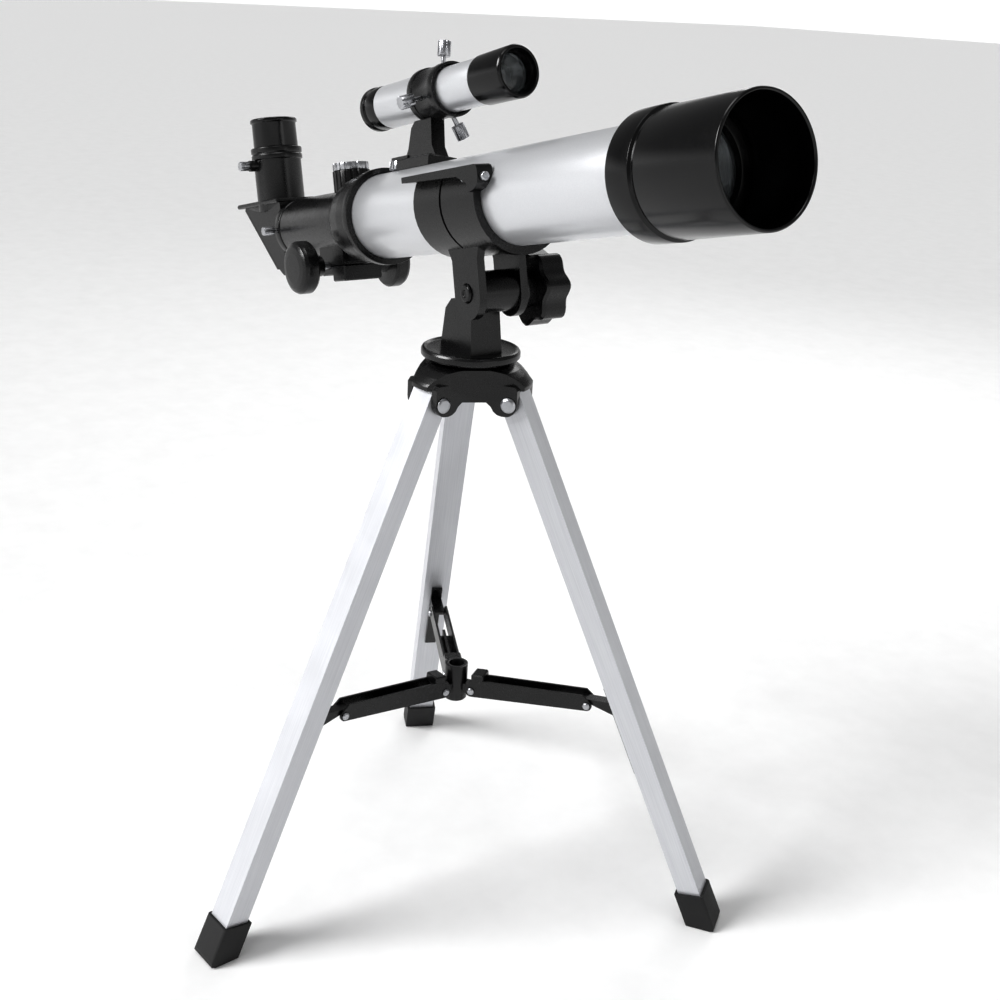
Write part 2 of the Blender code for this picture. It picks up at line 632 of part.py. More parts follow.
def cradle(tilt, tube):
    """The half-shell under the tube with its two ears, in the tube's frame."""
    inner = TUBE_RADIUS + GAP
    outer = inner + CRADLE_WALL
    rim = 1.4 * MM
    groove = 1.0 * MM
    middle = (CRADLE_REAR + CRADLE_FRONT) / 2 - 4.0 * MM
    profile = [
        (inner, CRADLE_REAR),
        (outer, CRADLE_REAR),
        (outer, middle - groove),
        (outer - groove, middle - groove),
        (outer - groove, middle + groove),
        (outer, middle + groove),
        (outer, CRADLE_FRONT - 5.0 * MM),
        (outer + rim, CRADLE_FRONT - 5.0 * MM),
        (outer + rim, CRADLE_FRONT),
        (inner, CRADLE_FRONT),
    ]
    shell = bmesh.new()
    start = Matrix.Rotation(math.pi - CRADLE_WRAP, 3, "X") @ Vector((0, 0, 1))
    face = shell.faces.new(
        [shell.verts.new((x, radius * start.y, radius * start.z)) for radius, x in profile]
    )
    bmesh.ops.spin(
        shell,
        geom=[face, *face.edges, *face.verts],
        cent=(0, 0, 0),
        axis=(1, 0, 0),
        angle=2 * CRADLE_WRAP,
        steps=28,
    )
    lip_height = -outer * math.cos(CRADLE_WRAP)
    lip_top = lip_height + 0.9 * MM
    nose = CRADLE_FRONT + 9.0 * MM
    lip = [
        (CRADLE_REAR - 5.5 * MM, lip_height - 2.6 * MM),
        (CRADLE_FRONT - 13.0 * MM, lip_height - 4.4 * MM),
        (CRADLE_FRONT - 3.0 * MM, lip_height - 9.0 * MM),
        (CRADLE_FRONT - 1.0 * MM, lip_height - 14.0 * MM),
        (nose - 4.0 * MM, lip_height - 12.5 * MM),
        (nose - 0.8 * MM, lip_height - 9.6 * MM),
        (nose, lip_height - 6.4 * MM),
        (nose, lip_height - 2.2 * MM),
        (nose - 1.0 * MM, lip_top - 0.9 * MM),
        (nose - 3.0 * MM, lip_top),
        (CRADLE_REAR - 5.0 * MM, lip_top),
        (CRADLE_REAR - 5.5 * MM, lip_top - 0.5 * MM),
    ]
    lips = []
    for side in (-1, 1):
        y = side * outer * math.sin(CRADLE_WRAP)
        low_y, high_y = sorted((y - side * 1.6 * MM, y + side * 9.0 * MM))
        lips.append(plate(lip, low_y, high_y))
    ear_inner = YOKE_HUB_WIDTH / 2 + GAP
    drop = TUBE_RADIUS + PIVOT_DROP
    ears = []
    root = -inner + 7.0 * MM
    for side in (-1, 1):
        front = PIVOT_STATION + CRADLE_EAR_HALF
        rear = PIVOT_STATION - CRADLE_EAR_HALF
        outline = [(front + 4 * MM, root), (front, root - 12 * MM)]
        outline += arc((PIVOT_STATION, -drop - 2.6 * MM), CRADLE_EAR_HALF, 0, -180, 12)
        outline += [(rear, root - 12 * MM), (rear - 6 * MM, root)]
        low, high = sorted((side * ear_inner, side * (ear_inner + CRADLE_EAR)))
        ears.append(plate(outline, low, high))
    bore = rod(inner, CRADLE_REAR - 20 * MM, CRADLE_FRONT + 20 * MM, "X", 44)
    spot = (PIVOT_STATION, 0, -drop)
    cross = rod(ALTITUDE_BOLT_RADIUS + GAP, -2 * STAR_RADIUS, 2 * STAR_RADIUS, "Y", 16, spot)
    sink_depth = ear_inner + CRADLE_EAR - 1.6 * MM
    sink = rod(6.2 * MM, -2 * STAR_RADIUS, -sink_depth, "Y", 20, spot)
    screw_y = -outer * math.sin(CRADLE_WRAP) - 5.2 * MM
    screw_z = lip_height - 6.2 * MM
    screw_hole = rod(
        1.5 * MM + GAP, CRADLE_FRONT - 14 * MM, CRADLE_FRONT + 20 * MM, "X", 12, (0, screw_y, screw_z)
    )
    piece(
        "tube_cradle", tube, "black_plastic", shell, [*lips, *ears], [bore, cross, sink, screw_hole]
    )
    front = CRADLE_FRONT + 9.0 * MM + GAP
    screw = turned(
        [
            (0, front + 3.0 * MM),
            (2.0 * MM, front + 3.0 * MM),
            (2.6 * MM, front + 2.4 * MM),
            (2.6 * MM, front),
            (1.5 * MM, front),
            (1.5 * MM, CRADLE_FRONT - 12 * MM),
            (0, CRADLE_FRONT - 12 * MM),
        ],
        "X",
        16,
        (0, screw_y, screw_z),
    )
    piece("cradle_screw", tube, "screw_chrome", screw)
    altitude_clamp(tilt, sink_depth, ear_inner + CRADLE_EAR)


def altitude_clamp(tilt, sink_depth, ear_outer):
    """The cross bolt, its washer and the star knob, on the altitude axis."""
    washer_low = ear_outer + GAP
    washer_high = washer_low + 2.6 * MM
    neck = washer_high + GAP
    rim = neck + 4.8 * MM
    back = rim + 18.4 * MM
    head_low = -sink_depth - GAP - 3.0 * MM
    bolt = turned(
        [
            (0, head_low + 0.8 * MM),
            (2.0 * MM, head_low + 0.8 * MM),
            (2.4 * MM, head_low),
            (4.8 * MM, head_low),
            (5.6 * MM, head_low + 1.0 * MM),
            (5.6 * MM, -sink_depth - GAP),
            (ALTITUDE_BOLT_RADIUS, -sink_depth - GAP),
            (ALTITUDE_BOLT_RADIUS, rim + 10.0 * MM),
            (0, rim + 10.0 * MM),
        ],
        "Y",
        20,
    )
    piece("altitude_bolt", tilt, "black_enamel", bolt)
    piece(
        "altitude_washer",
        tilt,
        "black_plastic",
        pipe(13.0 * MM, ALTITUDE_BOLT_RADIUS + GAP, washer_low, washer_high, "Y", 28),
    )
    outline = []
    count = 8 * STAR_LOBES
    for i in range(count):
        angle = 2 * math.pi * i / count
        radius = STAR_RADIUS - 2.6 * MM * (1 - math.cos(STAR_LOBES * angle)) / 2 * 1.5
        outline.append((radius * math.cos(angle), radius * math.sin(angle)))
    lobes = plate(outline, rim, back)
    rims = [e for e in lobes.edges if abs(e.verts[0].co.y - e.verts[1].co.y) < 1e-7]
    bmesh.ops.bevel(
        lobes, geom=rims, offset=1.6 * MM, segments=1, profile=0.5, affect="EDGES", material=-1
    )
    neck_rod = rod(12.0 * MM, neck, rim + 2.0 * MM, "Y", 28)
    hole = rod(ALTITUDE_BOLT_RADIUS + GAP, 0, rim + 10.6 * MM, "Y", 16)
    piece("altitude_knob", tilt, "black_plastic", lobes, [neck_rod], [hole])


# --- Optical tube ---------------------------------------------------------------------


def optical_tube(tube):
    inner = TUBE_RADIUS - TUBE_WALL
    stud = rod(2.0 * MM + GAP, 0, 2 * TUBE_RADIUS, steps=12, shift=(FOOT_NUT_STATION, 0, 0))
    stud = moved(stud, Matrix.Rotation(-FINDER_ROLL, 3, "X"))
    piece(
        "main_tube",
        tube,
        "silver_enamel",
        pipe(TUBE_RADIUS, inner, TUBE_REAR, TUBE_FRONT, "X", 44),
        cuts=[stud],
    )
    skin = TUBE_RADIUS + SHIELD_STEP
    bore = skin - SHIELD_WALL
    step = TUBE_FRONT + GAP
    shield = [
        (TUBE_RADIUS + GAP, SHIELD_REAR),
        (skin - 0.5 * MM, SHIELD_REAR),
        (skin + 0.9 * MM, SHIELD_REAR + 2.0 * MM),
        (skin + 1.0 * MM, step + 1.0 * MM),
        (skin - 0.8 * MM, step + 1.8 * MM),
        (skin - 0.8 * MM, step + 3.2 * MM),
        (skin, step + 4.0 * MM),
        (skin, SHIELD_FRONT - 0.8 * MM),
        (skin - 0.6 * MM, SHIELD_FRONT),
        (bore + 0.6 * MM, SHIELD_FRONT),
        (bore, SHIELD_FRONT - 0.8 * MM),
        (bore, step),
        (TUBE_RADIUS + GAP, step),
    ]
    piece("dew_shield", tube, "black_enamel", turned(shield, "X", 44))
    flange = bore - GAP
    seat = LENS_RADIUS + GAP
    lens_back = LENS_STATION - 6.5 * MM
    cell = [
        (inner - GAP - 2.0 * MM, TUBE_FRONT - 14.0 * MM),
        (inner - GAP, TUBE_FRONT - 14.0 * MM),
        (inner - GAP, step),
        (flange, step),
        (flange, LENS_STATION + 4.0 * MM),
        (seat, LENS_STATION + 4.0 * MM),
        (seat, lens_back - GAP),
        (LENS_RADIUS - 1.8 * MM, lens_back - GAP),
    ]
    piece("objective_cell", tube, "black_enamel", turned(cell, "X", 36))
    lens = [
        (0, LENS_STATION + 1.1 * MM),
        (13.0 * MM, LENS_STATION + 0.8 * MM),
        (LENS_RADIUS, LENS_STATION),
        (LENS_RADIUS, lens_back),
        (0, lens_back),
    ]
    piece("objective_lens", tube, "lens_glass", turned(lens, "X", 32))


# --- Focuser --------------------------------------------------------------------------


def focuser(tube):
    bore = DRAW_RADIUS + GAP + 0.1 * MM
    skin = bore + HOUSING_WALL
    sleeve = TUBE_RADIUS + GAP
    collar = sleeve + 3.2 * MM
    tube_stop = TUBE_REAR - GAP
    housing = [
        (0, HOUSING_REAR),
        (skin - 0.8 * MM, HOUSING_REAR),
        (skin, HOUSING_REAR + 0.8 * MM),
        (skin, FLARE_REAR),
        (skin + 4.0 * MM, FLARE_REAR + 6.0 * MM),
        (skin + 7.0 * MM, FLARE_REAR + 14.0 * MM),
        (skin + 8.6 * MM, FLARE_REAR + 25.0 * MM),
        (collar - 0.6 * MM, HOUSING_FRONT - 9.0 * MM),
        (collar - 0.6 * MM, HOUSING_FRONT - 7.0 * MM),
        (collar + 0.6 * MM, HOUSING_FRONT - 6.4 * MM),
        (collar + 0.6 * MM, HOUSING_FRONT),
        (0, HOUSING_FRONT),
    ]
    cavity = [
        (0, HOUSING_REAR - HOUSING_WALL),
        (bore, HOUSING_REAR - HOUSING_WALL),
        (bore, FLARE_REAR + 10.0 * MM),
        (bore + 4.0 * MM, tube_stop),
        (sleeve, tube_stop),
        (sleeve, HOUSING_FRONT + HOUSING_WALL),
        (0, HOUSING_FRONT + HOUSING_WALL),
    ]
    rack_line = DRAW_RADIUS + RACK_RISE
    axle = rack_line + PINION_PITCH_RADIUS
    tip = PINION_PITCH_RADIUS + TOOTH_HEIGHT / 2
    box_low = axle + SHAFT_RADIUS + 4.6 * MM
    split = axle + GAP / 2
    gear_box = block(
        (PINION_STATION - 12.5 * MM, -GEAR_BOX_HALF, -split),
        (PINION_STATION + 22.0 * MM, GEAR_BOX_HALF, -DRAW_RADIUS + 6.0 * MM),
    )
    toe = block(
        (PINION_STATION + 21.0 * MM, -GEAR_BOX_HALF + 4 * MM, -split + 2 * MM),
        (PINION_STATION + 50.0 * MM, GEAR_BOX_HALF - 4 * MM, -DRAW_RADIUS - HOUSING_WALL - 0.5 * MM),
    )
    boss_top = LOCK_TOP - LOCK_HEIGHT - GAP
    boss = knurled(LOCK_RADIUS + 0.5 * MM, DRAW_RADIUS + 1.6 * MM, boss_top, 20, 0.7 * MM)
    boss = moved(boss, shift=(LOCK_STATION, 0, 0))
    slot = block(
        (HOUSING_REAR - 5 * MM, -RACK_WIDTH / 2 - 0.6 * MM, -rack_line - TOOTH_HEIGHT),
        (DRAW_FRONT + 8 * MM, RACK_WIDTH / 2 + 0.6 * MM, -DRAW_RADIUS + 5 * MM),
    )
    spot = (PINION_STATION, 0, -axle)
    well_half = RACK_WIDTH / 2 + 1.0 * MM

    def pinion_room():
        well = rod(tip + 0.7 * MM, -well_half, well_half, "Y", 20, spot)
        hole = rod(SHAFT_RADIUS + GAP, -2 * KNOB_INNER, 2 * KNOB_INNER, "Y", 16, spot)
        return [well, hole]

    lock_hole = rod(2.0 * MM + GAP, 0, 2 * LOCK_TOP, steps=12, shift=(LOCK_STATION, 0, 0))
    piece(
        "focuser_housing",
        tube,
        "black_plastic",
        turned(housing, "X", 36),
        [gear_box, toe, boss],
        [turned(cavity, "X", 36), slot, *pinion_room(), lock_hole],
    )
    cap = block(
        (PINION_STATION - 12.5 * MM, -GEAR_BOX_HALF, -box_low),
        (PINION_STATION + 22.0 * MM, GEAR_BOX_HALF, -split - GAP),
        0.9 * MM,
        1,
    )
    sump = block(
        (PINION_STATION + 4.0 * MM, -GEAR_BOX_HALF, -box_low - 4.4 * MM),
        (PINION_STATION + 22.0 * MM, GEAR_BOX_HALF, -axle - SHAFT_RADIUS - 2.0 * MM),
        0.9 * MM,
        1,
    )
    piece("pinion_cap", tube, "black_plastic", cap, adds=[sump], cuts=pinion_room())
    drawtube(tube, rack_line)
    focus_shaft(tube, axle, tip)
    lock_knob(tube)


def tooth_pitch():
    return 2 * math.pi * PINION_PITCH_RADIUS / PINION_TEETH


def drawtube(tube, rack_line):
    """The sliding tube with the rack along its underside and the clamp collar at its rear."""
    collar_rear = HOUSING_REAR - GAP - DRAW_COLLAR
    socket = BARREL_RADIUS + GAP
    skin = DRAW_RADIUS + HOUSING_WALL + 0.7 * MM
    body = [
        (socket, collar_rear),
        (skin - 0.7 * MM, collar_rear),
        (skin, collar_rear + 0.7 * MM),
        (skin, HOUSING_REAR - GAP - 0.7 * MM),
        (skin - 0.7 * MM, HOUSING_REAR - GAP),
        (DRAW_RADIUS, HOUSING_REAR - GAP),
        (DRAW_RADIUS, DRAW_FRONT),
        (socket, DRAW_FRONT),
    ]
    pitch = tooth_pitch()
    first = PINION_STATION - 6 * pitch
    count = int((DRAW_FRONT - first - GAP) / pitch)
    half_tip = (pitch / 2 - TOOTH_BACKLASH - 0.55 * TOOTH_HEIGHT * 0.6) / 2
    half_foot = (pitch / 2 - TOOTH_BACKLASH + 0.55 * TOOTH_HEIGHT * 0.6) / 2
    foot = -rack_line + TOOTH_HEIGHT / 2
    tip = -rack_line - TOOTH_HEIGHT / 2
    outline = [(first - pitch, -DRAW_RADIUS + 1.0 * MM), (first - pitch, foot)]
    for i in range(count):
        middle = first + i * pitch
        outline += [
            (middle - half_foot, foot),
            (middle - half_tip, tip),
            (middle + half_tip, tip),
            (middle + half_foot, foot),
        ]
    outline += [(DRAW_FRONT - GAP, foot), (DRAW_FRONT - GAP, -DRAW_RADIUS + 1.0 * MM)]
    rack = plate(outline, -RACK_WIDTH / 2, RACK_WIDTH / 2)
    screw_hole = rod(1.7 * MM, -2 * skin, 0, "Y", 12, (collar_rear + DRAW_COLLAR / 2, 0, 0))
    piece(
        "drawtube", tube, "black_enamel", turned(body, "X", 36), adds=[rack], cuts=[screw_hole]
    )
    setscrew(
        "diagonal_setscrew",
        tube,
        (collar_rear + DRAW_COLLAR / 2, 0, 0),
        BARREL_RADIUS + GAP,
        skin + 2.2 * MM,
        9.0 * MM,
        3.2 * MM,
    )


def setscrew(name, parent, spot, tip, head_start, head_length, head_radius):
    """A thumbscrew pointing at the origin from -Y: a thin shank and a ribbed head."""
    shank = 1.4 * MM
    neck = turned(
        [
            (0, -head_start - 1.0 * MM),
            (shank, -head_start - 1.0 * MM),
            (shank, -tip),
            (0, -tip),
        ],
        "Y",
        12,
    )
    head = knurled(head_radius, -head_start - head_length, -head_start, 8, 0.5 * MM)
    head = moved(head, Matrix.Rotation(-math.pi / 2, 3, "X"))
    return piece(name, parent, "screw_chrome", moved(neck, shift=spot), [moved(head, shift=spot)])


def focus_shaft(tube, axle, tip):
    """The pinion with its shaft, and the knob at each end."""
    spot = (PINION_STATION, 0, -axle)
    pitch_angle = 360.0 / PINION_TEETH
    half_pitch = math.degrees((tooth_pitch() / 2 - TOOTH_BACKLASH) / 2 / PINION_PITCH_RADIUS)
    root = PINION_PITCH_RADIUS - TOOTH_HEIGHT / 2 - 0.2 * MM
    outline = []
    for i in range(PINION_TEETH):
        # A gap of the pinion faces the rack tooth below the tube's axis.
        middle = 90.0 + (i + 0.5) * pitch_angle
        outline.append((root, middle - 1.25 * half_pitch))
        outline.append((tip, middle - 0.55 * half_pitch))
        outline.append((tip, middle + 0.55 * half_pitch))
        outline.append((root, middle + 1.25 * half_pitch))
    points = [
        (radius * math.cos(math.radians(a)), radius * math.sin(math.radians(a)))
        for radius, a in outline
    ]
    gear = plate(points, -RACK_WIDTH / 2, RACK_WIDTH / 2)
    reach = KNOB_INNER + 5.0 * MM
    shaft = rod(SHAFT_RADIUS, -reach, reach, "Y", 16)
    piece("focus_pinion", tube, "rivet_steel", moved(gear, shift=spot), [moved(shaft, shift=spot)])
    for name, side in (("near", -1), ("far", 1)):
        knob = [
            (0, KNOB_INNER + 5.0 * MM + GAP),
            (SHAFT_RADIUS + GAP, KNOB_INNER + 5.0 * MM + GAP),
            (SHAFT_RADIUS + GAP, KNOB_INNER - 9.0 * MM),
            (7.0 * MM, KNOB_INNER - 9.0 * MM),
            (7.5 * MM, KNOB_INNER),
            (KNOB_RADIUS - 1.6 * MM, KNOB_INNER),
            (KNOB_RADIUS, KNOB_INNER + 1.8 * MM),
            (KNOB_RADIUS, KNOB_INNER + 0.68 * KNOB_WIDTH),
            (KNOB_RADIUS - 1.3 * MM, KNOB_INNER + 0.86 * KNOB_WIDTH),
            (KNOB_RADIUS - 4.0 * MM, KNOB_INNER + 0.96 * KNOB_WIDTH),
            (KNOB_RADIUS - 8.0 * MM, KNOB_INNER + KNOB_WIDTH),
            (0, KNOB_INNER + KNOB_WIDTH),
        ]
        shape = turned([(radius, side * y) for radius, y in knob], "Y", 28, spot)
        piece(f"focus_knob_{name}", tube, "black_plastic", shape)


def lock_knob(tube):
    """The ribbed knob on top that locks the drawtube, with its screw."""
    low = LOCK_TOP - LOCK_HEIGHT
    head = moved(knurled(LOCK_RADIUS, low, LOCK_TOP, 20, 0.7 * MM), shift=(LOCK_STATION, 0, 0))
    screw = rod(2.0 * MM, DRAW_RADIUS + GAP, low + 1.0 * MM, steps=12, shift=(LOCK_STATION, 0, 0))
    piece("focus_lock_knob", tube, "screw_chrome", head, [screw])


# --- Diagonal and eyepiece ------------------------------------------------------------


def diagonal(tube):
    """The right-angle holder: light comes in along X and leaves along +Z."""
    face = HOUSING_REAR - DRAW_COLLAR - 2 * GAP
    back = HOLDER_STATION - DIAGONAL_BACK  # x + z on the sloped back
    cover = COVER_THICKNESS * math.sqrt(2)
    floor = -33.0 * MM
    inside = back + cover + GAP
    outline = [
        (face, DIAGONAL_ROOF),
        (inside - DIAGONAL_ROOF, DIAGONAL_ROOF),
        (inside - floor - 6 * MM, floor + 6 * MM),
        (face - 5.0 * MM, floor),
        (face, floor),
    ]
    half = DIAGONAL_HALF - 2.4 * MM
    body = plate(outline, -half, half)
    roof = block(
        (back - DIAGONAL_ROOF - 7.0 * MM, -DIAGONAL_HALF, DIAGONAL_ROOF - 0.2 * MM),
        (face - 0.2 * MM, DIAGONAL_HALF, DIAGONAL_ROOF + 3.0 * MM),
        0.9 * MM,
        1,
    )
    socket = BARREL_RADIUS + GAP
    holder = turned(
        [
            (0, DIAGONAL_ROOF - 5 * MM),
            (socket + HOLDER_WALL, DIAGONAL_ROOF - 5 * MM),
            (socket + HOLDER_WALL, HOLDER_TOP),
            (socket + HOLDER_WALL + 1.3 * MM, HOLDER_TOP + 0.5 * MM),
            (socket + HOLDER_WALL + 1.3 * MM, HOLDER_TOP + 3.4 * MM),
            (socket + HOLDER_WALL + 0.4 * MM, HOLDER_TOP + 4.4 * MM),
            (socket + HOLDER_WALL + 1.3 * MM, HOLDER_TOP + 5.4 * MM),
            (socket + HOLDER_WALL + 1.3 * MM, HOLDER_TOP + HOLDER_COLLAR - 0.5 * MM),
            (socket + HOLDER_WALL + 0.8 * MM, HOLDER_TOP + HOLDER_COLLAR),
            (0, HOLDER_TOP + HOLDER_COLLAR),
        ],
        steps=28,
        shift=(HOLDER_STATION, 0, 0),
    )
    nose = rod(BARREL_RADIUS, face - 4 * MM, face + 26.0 * MM, "X", 28)
    room = 12.0 * MM
    light = rod(room - GAP, HOLDER_STATION + room - 2 * MM, face + 40 * MM, "X", 26)
    well = turned(
        [
            (0, room - 2.0 * MM),
            (room - GAP, room - 2.0 * MM),
            (room - GAP, 28.0 * MM),
            (socket, 28.0 * MM),
            (socket, 2 * HOLDER_TOP),
            (0, 2 * HOLDER_TOP),
        ],
        steps=28,
        shift=(HOLDER_STATION, 0, 0),
    )
    mirror_half = 18.5 * MM
    depth = DIAGONAL_BACK / math.sqrt(2)
    pocket = block(
        (-depth - 5 * MM, -mirror_half + 5 * MM, -mirror_half), (0, mirror_half - 5 * MM, mirror_half)
    )
    face_turn = Matrix.Rotation(math.radians(-45), 3, "Y")
    pocket = moved(pocket, face_turn, (HOLDER_STATION, 0, 0))
    corners = [(-room - 1 * MM, room), (room, -room - 1 * MM), (room, room)]
    chamber = plate([(HOLDER_STATION + x, z) for x, z in corners], -room - GAP, room + GAP)
    spot = (HOLDER_STATION, 0, 50.0 * MM)
    screw_hole = rod(1.7 * MM, -2 * socket, 0, "Y", 12, spot)
    screw_boss = rod(4.0 * MM, -socket - 7.5 * MM, -socket - 0.6 * MM, "Y", 16, spot)
    piece(
        "diagonal_body",
        tube,
        "black_plastic",
        body,
        [roof, holder, nose, screw_boss],
        [screw_hole, light, well],
        [pocket, chamber],
    )
    glass = block(
        (-MIRROR_THICKNESS - GAP, -mirror_half + 5 * MM + GAP, -mirror_half + GAP),
        (-GAP, mirror_half - 5 * MM - GAP, mirror_half - GAP),
    )
    piece("diagonal_mirror", tube, "mirror", moved(glass, face_turn, (HOLDER_STATION, 0, 0)))
    lid_run = (DIAGONAL_ROOF - floor) * math.sqrt(2) / 2
    lid = block(
        (-depth, -half, -lid_run + 9.0 * MM),
        (-depth + COVER_THICKNESS, half, lid_run - 0.5 * MM),
    )
    lid = moved(lid, face_turn, (HOLDER_STATION, 0, 0))
    piece("diagonal_cover", tube, "black_plastic", lid)
    setscrew(
        "eyepiece_setscrew",
        tube,
        spot,
        BARREL_RADIUS + GAP,
        socket + 8.4 * MM,
        7.0 * MM,
        3.4 * MM,
    )


def eyepiece(tube):
    """The eyepiece: a barrel in the holder, a body above it and a flared top."""
    seat = HOLDER_TOP + HOLDER_COLLAR + GAP
    top = seat + EYEPIECE_RISE
    skin = BARREL_RADIUS + 0.3 * MM
    spot = (HOLDER_STATION, 0, 0)
    body = [
        (14.2 * MM, seat - 26.0 * MM),
        (BARREL_RADIUS, seat - 26.0 * MM),
        (BARREL_RADIUS, seat),
        (skin + 0.5 * MM, seat),
        (skin + 0.3 * MM, top - EYEPIECE_FLANGE),
        (skin + 1.4 * MM, top - EYEPIECE_FLANGE + 0.8 * MM),
        (skin + 1.4 * MM, top - 0.8 * MM),
        (skin + 0.7 * MM, top),
        (9.5 * MM, top),
        (7.2 * MM, top - 3.0 * MM),
        (7.2 * MM, top - 4.0 * MM),
        (10.6 * MM, top - 4.0 * MM),
        (10.6 * MM, seat - 10.0 * MM),
        (14.2 * MM, seat - 10.0 * MM),
    ]
    piece("eyepiece_body", tube, "black_enamel", turned(body, "Z", 28, spot))
    lens_top = top - 4.0 * MM - GAP
    edge = 10.6 * MM - GAP
    eye = [(0, lens_top), (edge, lens_top), (edge, lens_top - 2.0 * MM), (0, lens_top - 4.2 * MM)]
    piece("eyepiece_lens", tube, "lens_glass", turned(eye, "Z", 24, spot))


# --- Finder ---------------------------------------------------------------------------


def finder(tube):
    """The finder on its bracket; the roll frame has +Z out from the tube through the finder."""
    roll = empty("finder_roll", tube, (0, 0, 0), (-FINDER_ROLL, 0, 0))
    height = TUBE_RADIUS + FINDER_RISE
    ring = empty("finder_ring_axis", roll, (FINDER_STATION, 0, height))
    aim = empty("finder_aim", ring, (0, 0, 0), (0, -FINDER_PITCH, FINDER_YAW))
    finder_bracket(roll, height)
    finder_optics(aim)
    for number, angle in enumerate(THUMBSCREW_ANGLES, 1):
        spoke = empty(f"thumbscrew_axis_{number}", ring, (0, 0, 0), (math.radians(angle - 90), 0, 0))
        tip = FINDER_RADIUS + 2.2 * GAP
        head = RING_INNER + RING_WALL + 5.5 * MM
        shank = turned(
            [(0, tip), (1.5 * MM, tip), (1.5 * MM, head + 1 * MM), (0, head + 1 * MM)], "Z", 12
        )
        knob = knurled(4.2 * MM, head, head + 9.5 * MM, 10, 0.6 * MM)
        piece(f"finder_thumbscrew_{number}", spoke, "screw_chrome", shank, [knob])


def finder_bracket(roll, height):
    outer = RING_INNER + RING_WALL
    half = RING_WIDTH / 2
    profile = [
        (RING_INNER, -half),
        (outer, -half),
        (outer, -half + 5.0 * MM),
        (outer - 0.7 * MM, -half + 5.0 * MM),
        (outer - 0.7 * MM, half - 7.0 * MM),
        (outer, half - 7.0 * MM),
        (outer, half),
        (RING_INNER, half),
    ]
    spot = (FINDER_STATION, 0, height)
    ring = turned(profile, "X", 28, spot)
    skin = TUBE_RADIUS + GAP
    base = skin + 4.0 * MM
    top = height - RING_INNER - 0.6 * MM
    side = [
        (-83.0 * MM, base),
        (-44.0 * MM, base),
        (-50.0 * MM, base + 8.0 * MM),
        (-53.0 * MM, top),
        (-73.0 * MM, top),
        (-77.0 * MM, top - 4.0 * MM),
        (-79.0 * MM, base + 8.0 * MM),
    ]
    stalk = plate(side, -5.0 * MM, 5.0 * MM)
    foot = block(
        (-84.0 * MM, -11.0 * MM, skin - 3.4 * MM),
        (-42.0 * MM, 11.0 * MM, base + 0.8 * MM),
        1.0 * MM,
        1,
    )
    lip_low = skin + 6.2 * MM
    lip = block(
        (FOOT_NUT_STATION - 3.6 * MM, -6.0 * MM, lip_low),
        (-78.0 * MM, 6.0 * MM, lip_low + 2.0 * MM),
    )
    cap = rod(skin, -0.2, 0.2, "X", 44)
    stud_hole = rod(2.0 * MM + GAP, 0, 2 * TUBE_RADIUS, steps=12, shift=(FOOT_NUT_STATION, 0, 0))
    bore = rod(RING_INNER - 0.02 * MM, -half - 5 * MM, half + 5 * MM, "X", 28, spot)
    holes = []
    for angle in THUMBSCREW_ANGLES:
        hole = rod(1.5 * MM + GAP, 0, 3 * outer, steps=12)
        turn = Matrix.Rotation(math.radians(angle - 90), 3, "X")
        holes.append(moved(hole, turn, spot))
    piece(
        "finder_bracket",
        roll,
        "black_plastic",
        ring,
        [stalk, foot, lip],
        [cap, bore, stud_hole, *holes],
    )
    nut_low = skin + GAP
    nut = knurled(FOOT_NUT_RADIUS, nut_low, lip_low - GAP, 18, 0.6 * MM)
    nut = moved(nut, shift=(FOOT_NUT_STATION, 0, 0))
    stud = rod(
        2.0 * MM, TUBE_RADIUS - TUBE_WALL, lip_low + 3.4 * MM, steps=12, shift=(FOOT_NUT_STATION, 0, 0)
    )
    piece("finder_foot_nut", roll, "screw_chrome", nut, [stud])


